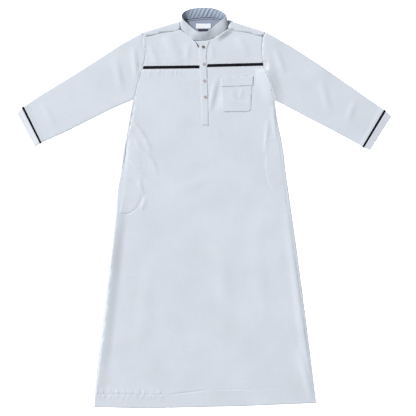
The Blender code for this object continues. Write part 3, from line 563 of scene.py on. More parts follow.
class Nodes:
    """A material's node tree, with short names for the steps that the finishes share."""

    def __init__(self, name: str) -> None:
        """Starts a material that has one shader."""
        self.material = bpy.data.materials.new(name)
        self.material.use_nodes = True
        self.tree = self.material.node_tree
        self.shader = self.tree.nodes["Principled BSDF"]

    def node(self, kind: str, **settings: object) -> bpy.types.Node:
        """Adds a node and gives it its settings."""
        made = self.tree.nodes.new(kind)
        for key, value in settings.items():
            setattr(made, key, value)
        return made

    def feed(self, socket: Socket, value: object) -> None:
        """Links a socket to an output, or sets it to a number."""
        if isinstance(value, Socket):
            self.tree.links.new(value, socket)
        else:
            socket.default_value = value

    def mapped(self, place: Socket, change: str, values: Sequence[float]) -> Socket:
        """A place after a mapping.

        Args:
            place: where it starts.
            change: Rotation or Scale.
            values: its three values.

        Returns:
            The new place.
        """
        mapping = self.node("ShaderNodeMapping")
        mapping.inputs[change].default_value = tuple(values)
        self.feed(mapping.inputs["Vector"], place)
        return mapping.outputs["Vector"]

    def turned_place(self, degrees: float, source_name: str = "Object") -> Socket:
        """The place on the object or its UV map, turned about Z."""
        source = self.node("ShaderNodeTexCoord").outputs[source_name]
        return self.mapped(source, "Rotation", (0.0, 0.0, math.radians(degrees))) if degrees else source

    def stretched(self, place: Socket, scale: Sequence[float]) -> Socket:
        """A place scaled by its three axes."""
        return self.mapped(place, "Scale", scale)

    def split(self, place: Socket) -> tuple[Socket, ...]:
        """The three parts of a place."""
        parts = self.node("ShaderNodeSeparateXYZ")
        self.feed(parts.inputs[0], place)
        return tuple(parts.outputs)

    def math(self, kind: str, *values: object) -> Socket:
        """One step of arithmetic."""
        step = self.node("ShaderNodeMath", operation=kind)
        for socket, value in zip(step.inputs, values):
            self.feed(socket, value)
        return step.outputs[0]

    def noise(self, place: Socket, scale: float, detail: float) -> Socket:
        """Smooth noise.

        Args:
            place: where it is read.
            scale: waves in a metre.
            detail: how many finer layers it has.

        Returns:
            Its value, about 0 to 1.
        """
        made = self.node("ShaderNodeTexNoise")
        made.inputs["Scale"].default_value = scale
        made.inputs["Detail"].default_value = detail
        self.feed(made.inputs["Vector"], place)
        return made.outputs["Fac"]

    def ramp(self, value: Socket, stops: Sequence[tuple[float, Colour]]) -> Socket:
        """Colours by value.

        Args:
            value: what chooses the colour.
            stops: places from 0 to 1 with their colours.

        Returns:
            The colour.
        """
        made = self.node("ShaderNodeValToRGB")
        elements = made.color_ramp.elements
        while len(elements) < len(stops):
            elements.new(0.5)
        for element, (at, colour) in zip(elements, stops):
            element.position = at
            element.color = (*colour, 1.0)
        self.feed(made.inputs["Fac"], value)
        return made.outputs["Color"]

    def spread(self, value: Socket, low: float, high: float) -> Socket:
        """Carries the middle of a 0 to 1 value onto another range.

        Args:
            value: the value.
            low, high: the ends of the new range.

        Returns:
            The new value.
        """
        made = self.node("ShaderNodeMapRange")
        for key, number in (("From Min", 0.3), ("From Max", 0.7), ("To Min", low), ("To Max", high)):
            made.inputs[key].default_value = number
        self.feed(made.inputs["Value"], value)
        return made.outputs["Result"]

    def bump(self, height: Socket, strength: float, distance: float, under: Socket | None = None) -> Socket:
        """A bumped normal.

        Args:
            height: the height that it follows.
            strength: how far it counts.
            distance: its depth in metres.
            under: a normal that it lies on.

        Returns:
            The normal.
        """
        made = self.node("ShaderNodeBump")
        made.inputs["Strength"].default_value = strength
        made.inputs["Distance"].default_value = distance
        self.feed(made.inputs["Height"], height)
        if under is not None:
            self.feed(made.inputs["Normal"], under)
        return made.outputs["Normal"]

    def link(self, socket: str, value: Socket) -> None:
        """Gives the shader a colour or a value."""
        self.tree.links.new(value, self.shader.inputs[socket])

    def set(self, **values: float | tuple[float, ...]) -> None:
        """Sets numbers that are the same all over, on the shader's own sockets."""
        for key, value in values.items():
            self.shader.inputs[key].default_value = value


CLOTH_COLOUR = (0.575, 0.615, 0.673)
CLOTH = WovenCloth("thobe_cloth", CLOTH_COLOUR)
# painted light: the collar's outer face is the garment's own cloth in a lighter copy of its colour, so the
# standing band looks lit
COLLAR_CLOTH_PAINTED_LIGHT = WovenCloth("collar_cloth_painted_light", (0.61, 0.655, 0.72), follows_uv=True)
# painted shade: the collar's inner face is the same cloth, coloured darker and bluer for the shade inside the
# standing band
COLLAR_INSIDE_PAINTED_SHADE = WovenCloth("collar_inside_painted_shade", (0.46, 0.54, 0.665), follows_uv=True)
# painted shade: the back's inner face, seen inside the neck and through the slit, is coloured dark blue-grey
# for the shade there
NECK_INSIDE_PAINTED_SHADE = WovenCloth("neck_inside_painted_shade", (0.25, 0.29, 0.375))
# painted shade: the neck tape's cloth is coloured dark for the shade below the collar
NECK_TAPE_PAINTED_SHADE = WovenCloth("neck_tape_painted_shade", (0.30, 0.345, 0.44))
RIGHT_SLEEVE_CLOTH = WovenCloth("thobe_cloth", CLOTH_COLOUR, grain=Grain.RIGHT_SLEEVE)
LEFT_SLEEVE_CLOTH = WovenCloth("thobe_cloth", CLOTH_COLOUR, grain=Grain.LEFT_SLEEVE)
# painted light and shade: both cuff bands are one cloth, in a lighter copy on the right, where the light
# comes from, and a darker one on the left
LIT_RIGHT_CUFF_CLOTH = WovenCloth("cuff_cloth", (0.66, 0.685, 0.74), grain=Grain.RIGHT_SLEEVE)
SHADED_LEFT_CUFF_CLOTH = WovenCloth("cuff_cloth", (0.60, 0.63, 0.70), grain=Grain.LEFT_SLEEVE)
CHEST_TAPE = RibbedTape("dark_tape")
RIGHT_CUFF_TAPE = RibbedTape("dark_tape", grain=Grain.RIGHT_SLEEVE)
LEFT_CUFF_TAPE = RibbedTape("dark_tape", grain=Grain.LEFT_SLEEVE)
SHELL = PearlShell("button_shell", (0.50, 0.40, 0.39), (0.70, 0.62, 0.63))
# painted shade: a dark copy of the shell for the top button, standing for the shadow on it as it tilts
SHADED_BUTTON_SHELL = PearlShell("button_shell_painted_shade", (0.17, 0.115, 0.085), (0.36, 0.27, 0.22))
LABEL = SatinLabel("label_satin", (0.80, 0.82, 0.86))
TAB = SatinLabel("tab_satin", (0.012, 0.012, 0.016))
THREAD = SewingThread("sewing_thread", (0.56, 0.61, 0.69))
BUTTON_THREAD = SewingThread("button_thread", (0.42, 0.38, 0.38))
LABEL_THREAD = SewingThread("label_thread", (0.72, 0.74, 0.78))
# painted shadow: near-black thread for the cord that stands for the shadowed groove of the neck seam
NECK_SHADOW_THREAD = SewingThread("seam_thread", (0.03, 0.025, 0.05))
DARK_THREAD = SewingThread("dark_thread", (0.010, 0.010, 0.014))
FLOOR = PaperFloor("studio_floor", 0.94)

UPPER = Relief(UPPER_FOLDS, GATHERS, RESTS, (POCKET_BAG_RIGHT, POCKET_BAG_LEFT), CREASES)
UNDER = Relief(UNDER_FOLDS, drape=0.0, crumple=0.0)
PLAIN = Relief(drape=0.0, crumple=0.0)
STITCHED = Relief(drape=0.12, drape_reach=26.0, crumple=0.08, seed=1.3)


def piece_from(bm: bmesh.types.BMesh, name: str, finish: Finish) -> bpy.types.Object:
    """Makes a bmesh in millimetres a piece of the garment.

    Args:
        bm: the shape, which is used up.
        name: the piece's name.
        finish: what builds its material.

    Returns:
        The piece, in metres, riding on the garment.
    """
    bmesh.ops.scale(bm, vec=(MM, MM, MM), verts=bm.verts)
    mesh = bpy.data.meshes.new(name)
    bm.to_mesh(mesh)
    bm.free()
    mesh.shade_smooth()
    mesh.materials.append(dressed(finish))
    piece = bpy.data.objects.new(name, mesh)
    bpy.context.scene.collection.objects.link(piece)
    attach(piece, "root")
    return piece


MATERIALS: dict[Finish, bpy.types.Material] = {}


def dressed(finish: Finish) -> bpy.types.Material:
    """The material of a finish, built once."""
    if finish not in MATERIALS:
        MATERIALS[finish] = finish.material()
    return MATERIALS[finish]


def walled(piece: bpy.types.Object, wall: float, inner: WovenCloth | None = None, side: float = -1.0) -> None:
    """Gives an open sheet its wall.

    Args:
        piece: the sheet.
        wall: how thick it becomes, in millimetres.
        inner: the finish of its inner face, where that differs.
        side: -1 where its faces look outward, and 1 where they look inward.
    """
    solidify = piece.modifiers.new("wall", "SOLIDIFY")
    solidify.thickness = wall * MM
    solidify.offset = side
    if inner:
        piece.data.materials.append(dressed(inner))
        solidify.material_offset = 1


def sliced(bm: bmesh.types.BMesh, faces: list, axis: int, places: list[float]) -> None:
    """Cuts faces at even places along an axis, halving the work at each step.

    Args:
        bm: the mesh.
        faces: the faces to cut.
        axis: 0 for X and 1 for Y.
        places: where the cuts go, in rising order.
    """
    if not places or not faces:
        return
    middle = len(places) // 2
    origin, normal = [0.0] * 3, [0.0] * 3
    origin[axis], normal[axis] = places[middle], 1.0
    edges = {edge for face in faces for edge in face.edges}
    verts = {vert for face in faces for vert in face.verts}
    cut = bmesh.ops.bisect_plane(
        bm, geom=[*faces, *edges, *verts], dist=0.001, plane_co=origin, plane_no=normal)
    parts = [item for item in cut["geom"] if isinstance(item, bmesh.types.BMFace)]
    low = [face for face in parts if face.calc_center_median()[axis] < places[middle]]
    high = [face for face in parts if face.calc_center_median()[axis] >= places[middle]]
    sliced(bm, low, axis, places[:middle])
    sliced(bm, high, axis, places[middle + 1:])


def edge_distance(bm: bmesh.types.BMesh, points: np.ndarray) -> np.ndarray:
    """How far points are from the open edges of a mesh, seen from above."""
    rim = [(*edge.verts[0].co.xy, *edge.verts[1].co.xy) for edge in bm.edges if edge.is_boundary]
    return line_distance(points, np.array(rim))


FACING_WEIGHT = 50.0
SHARP_EDGE = math.radians(58)
LEVEL_ANGLE = math.radians(0.6)
UPPER_FROM, UPPER_FADE = 2.7, 2.2
LOWER_UNTIL, LOWER_FADE = 2.0, 1.8
SEAM_WIDTH = 1.8
PUCKER_REACH, PUCKER_FADE = 4.6, 6.0
FINE_LEAST, FINEST_LEAST = 0.45, 0.15


@dataclass
class ClothShell:
    """One cut-and-sewn piece: a thin shell on the skin of its solid, with its own relief.

    The skin is the outer side of the solid, reached from its highest or lowest face without
    crossing a sharp edge. It is divided into even cells, and into finer ones near its open edges.
    """
    node: str
    finish: Finish
    slot: str
    relief: Relief
    flat: tuple[float, float]
    area: float | None = None
    rests_on: tuple[str, ...] = ()
    pitch: float = 7.0
    wall: float = 0.7
    seam_cuts: int = 2
    seam_reach: float = 8.0
    seam_drop: float = 0.5
    pucker: float = 0.3
    start_low: bool = False
    inner: WovenCloth | None = None
    level: float = LAY_HEIGHT
    fine: tuple[Rest, ...] = ()
    finest: tuple[Rest, ...] = ()
    pull: Pull | None = None
    skin_tree: BVHTree | None = field(default=None, init=False)

    def skin(self) -> bmesh.types.BMesh:
        """The outer skin of the solid.

        Returns:
            An open sheet of large faces, in millimetres.
        """
        bm = bmesh.new()
        bm.from_mesh(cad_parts[self.node].data)
        bmesh.ops.scale(bm, vec=(1 / MM,) * 3, verts=bm.verts)
        bmesh.ops.remove_doubles(bm, verts=bm.verts, dist=0.01)
        bm.normal_update()
        facing = -1.0 if self.start_low else 1.0
        first = max(
            bm.faces, key=lambda face: facing * (face.calc_center_median().z + FACING_WEIGHT * face.normal.z))
        reached, open_faces = {first}, [first]
        while open_faces:
            for edge in open_faces.pop().edges:
                if len(edge.link_faces) == 2 and edge.calc_face_angle() < SHARP_EDGE:
                    fresh = [face for face in edge.link_faces if face not in reached]
                    reached.update(fresh)
                    open_faces.extend(fresh)
        bmesh.ops.delete(bm, geom=[face for face in bm.faces if face not in reached], context="FACES")
        return bm

    def flatten(self, bm: bmesh.types.BMesh) -> None:
        """Lays the upper layer flat again, away from the cuffs, and joins its cells.

        Args:
            bm: the sheet.
        """
        places = np.array([vert.co for vert in bm.verts])
        free = from_cuffs(places[:, 0], places[:, 1]) > CUFF_LIFT_REACH
        for vert, loose in zip(bm.verts, free):
            if loose and vert.co.z > self.level:
                vert.co.z = self.level
        bmesh.ops.dissolve_limit(bm, angle_limit=LEVEL_ANGLE, verts=bm.verts, edges=bm.edges)

    def divide(self, bm: bmesh.types.BMesh) -> None:
        """Cuts the sheet into even cells, with finer ones near its open edges and in fine places.

        Args:
            bm: the sheet.
        """
        for axis in (0, 1):
            places = [vert.co[axis] for vert in bm.verts]
            low, high = min(places), max(places)
            count = max(int((high - low) / self.pitch), 1)
            sliced(bm, bm.faces[:], axis, [low + (high - low) * k / count for k in range(1, count)])
        if not self.seam_cuts:
            return
        centres = np.array([face.calc_center_median() for face in bm.faces])
        near = edge_distance(bm, centres[:, :2]) < self.seam_reach
        near &= centres[:, 2] > LAYER_SPLIT
        for zone in self.fine:
            near |= zone.holds(centres)
        self.refine(bm, near, self.seam_cuts, FINE_LEAST)
        for zone in self.finest:
            centres = np.array([face.calc_center_median() for face in bm.faces])
            self.refine(bm, zone.holds(centres), 1, FINEST_LEAST)

    def refine(self, bm: bmesh.types.BMesh, wanted: np.ndarray, cuts: int, least: float) -> None:
        """Divides some cells further.

        Args:
            bm: the sheet.
            wanted: whether each face is divided.
            cuts: how many cuts each edge gets.
            least: the shortest edge that is cut, as a share of the pitch.
        """
        edges = {edge for face, chosen in zip(bm.faces[:], wanted) if chosen for edge in face.edges
                 if edge.calc_length() > least * self.pitch}
        bmesh.ops.subdivide_edges(bm, edges=list(edges), cuts=cuts, use_grid_fill=True)

    def shape(self, bm: bmesh.types.BMesh) -> None:
        """Gives both layers their folds, and draws the open edges down into their seams.

        Args:
            bm: the sheet.
        """
        places = np.array([vert.co for vert in bm.verts])
        x, y, z = places.T
        upper = smooth((z - UPPER_FROM) / UPPER_FADE)
        lower = smooth((LOWER_UNTIL - z) / LOWER_FADE)
        distance = edge_distance(bm, places[:, :2])
        drawn = self.seam_drop * np.exp(-(distance / SEAM_WIDTH) ** 2)
        ticks = self.pucker * clouds(x, y, PUCKER_REACH, 2.2) * np.exp(-(distance / PUCKER_FADE) ** 2)
        rise = upper * (self.relief.height(x, y) - drawn + ticks)
        rise += lower * np.maximum(UNDER.height(x, y), 0.0)
        for vert, lift in zip(bm.verts, rise.tolist()):
            vert.co.z += lift
        if self.pull:
            near = np.exp(-(np.hypot(x - self.pull.x, y - self.pull.y) / self.pull.reach) ** 2)
            for vert, share in zip(bm.verts, near.tolist()):
                vert.co.xy += Vector((self.pull.move_x, self.pull.move_y)) * share

    def build(self) -> bpy.types.Object:
        """Returns:
            The piece.
        """
        bm = self.skin()
        self.flatten(bm)
        self.divide(bm)
        self.shape(bm)
        bm.normal_update()
        self.skin_tree = BVHTree.FromBMesh(bm)
        LOG.info("%s: %d cells", self.node, len(bm.faces))
        piece = piece_from(bm, f"{self.node}_cloth", self.finish)
        walled(piece, self.wall, self.inner)
        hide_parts(self.node)
        return piece


@dataclass
class StitchedShell(ClothShell):
    """A piece sewn onto others, which keeps the heights of its solid and has even cells."""
    seam_cuts: int = 0
    level: float = math.inf


@dataclass
class Sewing:
    """Rows of machine stitches that make one piece."""
    name: str
    finish: SewingThread = THREAD
    slot: str = "cloth"
    stitch: float = 2.7
    gap: float = 0.8
    thick: float = 0.42
    lift: float = 0.1
    bm: bmesh.types.BMesh = field(default_factory=bmesh.new, init=False)

    def one(self, start: Vector, end: Vector, normal: Vector) -> None:
        """Lays one stitch.

        Args:
            start, end: two points of the surface.
            normal: which way the surface faces there.
        """
        run = end - start
        if run.length < 1e-6:
            return
        along = run.normalized()
        across = normal.cross(along).normalized()
        up = along.cross(across)
        turn = Matrix((along, across, up)).transposed().to_4x4()
        size = Matrix.Diagonal((run.length / 2, self.thick / 2, self.thick / 2, 1.0))
        place = Matrix.Translation((start + end) / 2 + normal * self.lift * self.thick)
        bmesh.ops.create_icosphere(self.bm, subdivisions=1, radius=1.0, matrix=place @ turn @ size)

    def along(self, points: Sequence[Point], surface: BVHTree, side: Side = Side.ABOVE) -> None:
        """Sews a row along a line on a surface.

        Args:
            points: the line, seen from above.
            surface: what it is sewn on.
            side: from which side it is sewn.
        """
        spots = []
        for place in walked(points, self.stitch + self.gap):
            found, normal, *_ = surface.ray_cast(Vector((*place, RAY_START * side.value)),
                                               Vector((0, 0, -side.value)))
            spots.append((found, normal))
        share = self.stitch / (self.stitch + self.gap)
        for (start, normal), (end, _) in zip(spots, spots[1:]):
            if start is not None and end is not None:
                facing = normal if normal.z * side.value > 0 else -normal
                self.one(start, start.lerp(end, share), facing)

    def done(self) -> bpy.types.Object:
        """Makes the rows one piece."""
        LOG.info("%s: %d faces", self.name, len(self.bm.faces))
        return piece_from(self.bm, self.name, self.finish)


def walked(points: Sequence[Point], step: float) -> list[Point]:
    """Even steps along a polyline.

    Args:
        points: the polyline.
        step: how far apart the places are.

    Returns:
        The places.
    """
    result = []
    left = 0.0
    for (ax, ay), (bx, by) in zip(points, points[1:]):
        length = math.hypot(bx - ax, by - ay)
        at = left
        while at < length:
            result.append((ax + (bx - ax) * at / length, ay + (by - ay) * at / length))
            at += step
        left = at - length
    return result


def beside(points: Sequence[Point], offset: float) -> list[Point]:
    """A polyline moved to its left.

    Args:
        points: the polyline.
        offset: how far it moves.

    Returns:
        Its new points.
    """
    result = []
    for k, (x, y) in enumerate(points):
        before, after = points[max(k - 1, 0)], points[min(k + 1, len(points) - 1)]
        run = Vector((after[0] - before[0], after[1] - before[1])).normalized()
        result.append((x - run.y * offset, y + run.x * offset))
    return result


HEM = (
    (-407, -735.6), (-274, -739.6), (-196, -740), (-15, -736.3), (133, -732.6), (318, -725.2),
    (414.4, -720.8),
)
ARMHOLE_RIGHT = (
    (-227.2, 649.7), (-219.8, 632), (-216.5, 601.3), (-216.5, 566.1), (-222.4, 535), (-227, 519.5),
    (-230.5, 506.9), (-237.5, 478.4), (-248, 450.3), (-255.3, 415), (-263.4, 400.7),
)
ARMHOLE_LEFT = (
    (227.6, 651.2), (218.3, 632.7), (214.3, 601), (214.8, 566), (219, 540.2), (219.5, 531.7),
    (223.5, 515), (234.6, 490.3), (244.2, 459.5), (253.5, 420), (262, 398.1),
)
FORWARD_RIGHT = ((-219.8, 632), (-204.6, 634), (-150.2, 649), (-103.6, 654), (-88.8, 660))
FORWARD_LEFT = ((218.3, 632.7), (204, 636), (162.8, 648), (133.2, 652), (103.6, 657), (88.8, 662))
PLACKET_RIGHT_EDGE = ((-7.4, 307.1), (-13, 444), (-15.6, 525.4), (-16.5, 585), (-17.6, 600.5), (-33.3, 618.2))
PLACKET_LEFT_EDGE = ((16.3, 305.3), (14.8, 418.1), (11.4, 500), (9.3, 560), (11.1, 590), (20.4, 618))
CHEST_SEAMS = {"right": ((-222.0, 519.6), (-18.4, 522.2)), "left": ((15.0, 526.6), (216.2, 531.7))}
UP = Vector((0.0, 0.0, 1.0))
BUTTONS = ((-2.6, 595.7), (-0.4, 532.8), (2.2, 469.9), (4.1, 410.7))


@dataclass
class Body:
    """The back, the lower front and both front yokes, with the rows sewn on them."""
    hem_depth: float = 48.0
    shoulder_row: float = 2.2
    armhole_row: float = 6.0
    shells: dict[str, ClothShell] = field(default_factory=dict, init=False)

    def build(self) -> None:
        """Builds the four panels and their stitching."""
        panels = (
            # the back's inner face is coloured darker, painted shade inside the neck
            ClothShell(
                "back", CLOTH, "cloth", Relief(), (0.83, 1.50), 0.935, ("front_lower",), pitch=12.0, wall=0.9,
                seam_cuts=0, start_low=True, inner=NECK_INSIDE_PAINTED_SHADE),
            ClothShell("front_lower", CLOTH, "cloth", UPPER, (0.83, 1.28), 0.80, ("back",), fine=FINE_PLACES),
            ClothShell(
                "front_upper_right", CLOTH, "cloth", UPPER, (0.225, 0.14), 0.027, ("back",), pitch=5.0,
                finest=(SLIT_PLACE,), pull=SLIT_PULL),
            ClothShell(
                "front_upper_left", CLOTH, "cloth", UPPER, (0.225, 0.14), 0.024, ("back",), pitch=5.0,
                finest=(COLLAR_BASE_PLACE,)),
        )
        for shell in panels:
            shell.build()
            self.shells[shell.node] = shell
        self.sew()

    def sew(self) -> None:
        """Sews the hem, the shoulder seams and the armholes."""
        rows = Sewing("body_stitches")
        front, back = self.shells["front_lower"].skin_tree, self.shells["back"].skin_tree
        hem = beside(HEM, self.hem_depth)
        rows.along(hem, front)
        rows.along(hem, back, Side.BELOW)
        rows.along(beside(FORWARD_RIGHT, self.shoulder_row), back)
        rows.along(beside(FORWARD_LEFT, -self.shoulder_row), back)
        for armhole, left, name in ((ARMHOLE_RIGHT, 1.0, "right"), (ARMHOLE_LEFT, -1.0, "left")):
            line = beside(armhole, left * self.armhole_row)
            rows.along(line[1:6], self.shells[f"front_upper_{name}"].skin_tree)
            rows.along(line[5:10], front)
        rows.done()


@dataclass
class Sleeves:
    """Both sleeves with their cuff bands and the tapes over the cuff seams."""
    tape_row: float = 3.15
    sleeve_row: float = -8.5
    band_rows: tuple[float, float] = (10.5, 21.0)
    fold_gap: float = 2.5

    def build(self) -> None:
        """Builds the right and then the left sleeve."""
        self.one("right", RIGHT_SLEEVE_CLOTH, LIT_RIGHT_CUFF_CLOTH, RIGHT_CUFF_TAPE, 1.0)
        self.one("left", LEFT_SLEEVE_CLOTH, SHADED_LEFT_CUFF_CLOTH, LEFT_CUFF_TAPE, -1.0)

    def one(self, side: str, cloth: WovenCloth, cuff: WovenCloth, tape: RibbedTape, out: float) -> None:
        """Builds one sleeve.

        Args:
            side: the wearer's right or left.
            cloth: finish of the sleeve.
            cuff: finish of the cuff band, a lighter copy on the right and a darker one on the left, as
                painted light and shade.
            tape: finish of the tape.
            out: 1 where the line down the cuff seam has the body on its left, and -1 otherwise.
        """
        sleeve = ClothShell(
            f"sleeve_{side}", cloth, "cloth", UPPER, (0.53, 0.50), 0.196, seam_cuts=1, start_low=True)
        band = StitchedShell(
            f"cuff_band_{side}", cuff, "cuff_cloth", STITCHED, (0.29, 0.031), pitch=3.0, start_low=True)
        strip = StitchedShell(
            f"cuff_tape_{side}", tape, "tape", PLAIN, (0.30, 0.010), 0.00255, (f"sleeve_{side}",), pitch=2.5,
            start_low=True, seam_drop=0.3, pucker=0.08)
        for shell in (sleeve, band, strip):
            shell.build()
        rows = Sewing(f"cuff_stitches_{side}")
        tape_rows = Sewing(f"tape_stitches_{side}", DARK_THREAD, "tape", thick=0.36)
        for face in Side:
            rows.along(self.row(side, self.sleeve_row, out), sleeve.skin_tree, face)
            for distance in self.band_rows:
                rows.along(self.row(side, distance, out), band.skin_tree, face)
            for distance in (-self.tape_row, self.tape_row):
                tape_rows.along(self.row(side, distance, out), strip.skin_tree, face)
        rows.done()
        tape_rows.done()

    def row(self, side: str, distance: float, out: float) -> list[Point]:
        """A line parallel to a cuff seam, kept clear of both folds.

        Args:
            side: the wearer's right or left.
            distance: how far beyond the seam it lies.
            out: the side of the seam that the cuff is on.

        Returns:
            Its two ends.
        """
        line = beside(CUFF_SEAMS[side], -out * distance)
        start, end = Vector(line[0]), Vector(line[1])
        run = (end - start).normalized() * self.fold_gap
        return [tuple(start + run), tuple(end - run)]


@dataclass
class ChestTapes:
    """The two dark tapes over the chest seams."""
    row: float = 4.2

    def build(self) -> None:
        """Builds both tapes and the rows along their edges."""
        rows = Sewing("chest_tape_stitches", DARK_THREAD, "tape", thick=0.36)
        soft = Relief(drape=0.1, drape_reach=14.0, crumple=0.0)
        for side, middle in CHEST_SEAMS.items():
            shell = StitchedShell(
                f"chest_tape_{side}", CHEST_TAPE, "tape", soft, (0.209, 0.011), None,
                ("front_lower", f"front_upper_{side}"), pitch=2.75, seam_drop=0.45, pucker=0.1)
            shell.build()
            for offset in (-self.row, self.row):
                rows.along(beside(middle, offset), shell.skin_tree)
        rows.done()


@dataclass
class Button:
    """A four-hole button with a raised rim, made once and laid in four places."""
    radius: float = 5.25
    rim: float = 1.25
    thick: float = 2.4
    dish: float = 0.7
    hole: float = 0.62
    hole_spread: float = 1.15
    seat: float = 6.6
    crease: float = 50.0
    tie_lift: float = 0.05
    tie_over: float = 0.35
    tie_gap: float = 0.16

    def shape(self) -> bmesh.types.BMesh:
        """The button about the origin, standing on z = 0.

        Returns:
            A pierced plate inside a turned rim.
        """
        bm = bmesh.new()
        bmesh.ops.create_circle(bm, cap_ends=False, segments=40, radius=self.radius - 0.5)
        for k in range(4):
            angle = math.radians(45 + 90 * k)
            spot = Vector((math.cos(angle), math.sin(angle), 0.0)) * self.hole_spread * math.sqrt(2.0)
            bmesh.ops.create_circle(
                bm, cap_ends=False, segments=14, radius=self.hole, matrix=Matrix.Translation(spot))
        bmesh.ops.triangle_fill(bm, edges=bm.edges[:], use_beauty=True, use_dissolve=False)
        plate = bmesh.ops.extrude_face_region(bm, geom=bm.faces[:])
        raised = [item for item in plate["geom"] if isinstance(item, bmesh.types.BMVert)]
        bmesh.ops.translate(bm, vec=(0.0, 0.0, self.thick - self.dish), verts=raised)
        bmesh.ops.recalc_face_normals(bm, faces=bm.faces)
        pierced = set(bm.faces)
        inner, outer, top = self.radius - self.rim, self.radius, self.thick
        profile = (
            (inner - 0.25, top - self.dish - 0.25), (inner, top - 0.25), (inner + 0.35, top),
            (outer - 0.4, top - 0.02), (outer - 0.08, top - 0.35), (outer, top / 2),
            (outer - 0.15, 0.3), (outer - 0.6, 0.0), (inner - 0.25, 0.1),
        )
        ring = [bm.verts.new((x, 0.0, z)) for x, z in profile]
        edges = [bm.edges.new(pair) for pair in zip(ring, ring[1:] + ring[:1])]
        bmesh.ops.spin(
            bm, geom=[*ring, *edges], axis=UP, cent=(0, 0, 0), steps=40, angle=2.0 * math.pi, use_merge=True)
        bmesh.ops.recalc_face_normals(bm, faces=[face for face in bm.faces if face not in pierced])
        return bm

    def lay(self, name: str, centre: Point, finish: PearlShell) -> None:
        """Makes one button of the garment.

        Args:
            name: the node that it stands for.
            centre: its place, seen from above.
            finish: its shell.
        """
        bm = self.shape()
        bmesh.ops.translate(bm, vec=(*centre, self.seat), verts=bm.verts)
        piece = piece_from(bm, f"{name}_shell", finish)
        piece.data.set_sharp_from_angle(angle=math.radians(self.crease))
        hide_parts(name)

    def tie(self, rows: Sewing, centre: Point) -> None:
        """Lays the thread through the four holes, two bars side by side.

        Args:
            rows: the thread.
            centre: the button's place, seen from above.
        """
        top = self.seat + self.thick - self.dish + self.tie_lift
        reach = self.hole_spread + self.tie_over
        for across in (-self.hole_spread, self.hole_spread):
            for shift in (-self.tie_gap, self.tie_gap):
                y = centre[1] + across + shift
                rows.one(Vector((centre[0] - reach, y, top)), Vector((centre[0] + reach, y, top)), UP)


@dataclass
class Placket:
    """The placket with its box of stitches, four buttonholes and four buttons."""
    row_inset: float = 2.0
    box_depth: float = 22.0
    bottom: float = 306.5
    bottom_span: tuple[float, float] = (-6.0, 14.6)
    hole_half: float = 6.8
    hole_width: float = 1.1
    hole_stitches: int = 17
    slot_half: float = 0.25
    bar_half: float = 1.3
    bar_gap: float = 0.4
    thread_level: float = 6.36

    def build(self) -> None:
        """Builds the placket, sews it and buttons it."""
        shell = StitchedShell(
            "placket", CLOTH, "cloth", STITCHED, (0.053, 0.313), 0.0083,
            ("front_lower", "front_upper_right", "front_upper_left"), pitch=2.6, pucker=0.22)
        shell.build()
        rows = Sewing("placket_stitches", thick=0.46)
        rows.along(beside(PLACKET_RIGHT_EDGE, -self.row_inset), shell.skin_tree)
        rows.along(beside(PLACKET_LEFT_EDGE, self.row_inset), shell.skin_tree)
        start, end = self.bottom_span
        for rise in (self.row_inset, self.box_depth):
            y = self.bottom + rise
            rows.along([(start, y), (end, y - 1.0)], shell.skin_tree)
        button = Button()
        for number, centre in enumerate(BUTTONS, start=1):
            self.hole(rows, centre)
            # the top button takes the dark copy of the shell, painted shade
            button.lay(f"button_{number}", centre, SHADED_BUTTON_SHELL if number == 1 else SHELL)
        rows.done()
        ties = Sewing("button_ties", BUTTON_THREAD, "button", thick=0.5)
        for centre in BUTTONS:
            button.tie(ties, centre)
        ties.done()

    def hole(self, rows: Sewing, centre: Point) -> None:
        """Works one buttonhole: close stitches down both sides and a bar at each end.

        Args:
            rows: the thread.
            centre: its middle, seen from above.
        """
        for k in range(self.hole_stitches):
            y = centre[1] + self.hole_half * (2.0 * k / (self.hole_stitches - 1) - 1.0)
            for side in (-1.0, 1.0):
                inner = Vector((centre[0] + side * self.slot_half, y, self.thread_level))
                rows.one(inner, inner + Vector((side * self.hole_width, 0.0, 0.0)), UP)
        for end in (-1.0, 1.0):
            y = centre[1] + end * (self.hole_half + self.bar_gap)
            spot = Vector((centre[0] - self.bar_half, y, self.thread_level))
            rows.one(spot, spot + Vector((2.0 * self.bar_half, 0.0, 0.0)), UP)


@dataclass
class ChestPocket:
    """The patch pocket and the band turned out at its mouth."""
    left: float = 61.0
    right: float = 179.5
    top: float = 479.0
    bottom: float = 355.2
    band_rows: tuple[float, float] = (-28.6, -1.4)

    def build(self) -> None:
        """Builds the pocket and its band, and sews them down."""
        soft = Relief(
            (Fold(96, 442, 120, 392, 12, 14, 0.9), Fold(142, 446, 134, 400, 10, 12, 1.0),
             Fold(84, 400, 150, 384, 12, 10, 0.7)), drape=0.3, drape_reach=40.0, seed=6.2)
        pocket = StitchedShell(
            "chest_pocket", CLOTH, "cloth", soft, (0.119, 0.130), 0.0142, ("front_lower",), pitch=3.4,
            seam_drop=0.7, pucker=0.25)
        band = StitchedShell(
            "chest_pocket_band", CLOTH, "cloth", STITCHED, (0.119, 0.034), None, ("chest_pocket",), pitch=3.0,
            seam_drop=0.3, pucker=0.18)
        pocket.build()
        band.build()
        rows = Sewing("pocket_stitches")
        # down one side, round the bottom and up the other side
        rows.along(
            [(self.left + 2.0, self.top - 33.0), (self.left + 7.6, self.bottom + 14.0),
             (self.left + 11.5, self.bottom + 4.6), (self.left + 19.5, self.bottom + 1.8),
             (self.right - 18.0, self.bottom + 3.4), (self.right - 9.0, self.bottom + 6.5),
             (self.right - 6.4, self.bottom + 14.0), (self.right - 1.8, self.top - 29.0)], pocket.skin_tree)
        for low in self.band_rows:
            start, end = (self.left + 4.5, self.top + low), (self.right + 0.4, self.top + 5.0 + low)
            rows.along([start, end], band.skin_tree)
        rows.done()


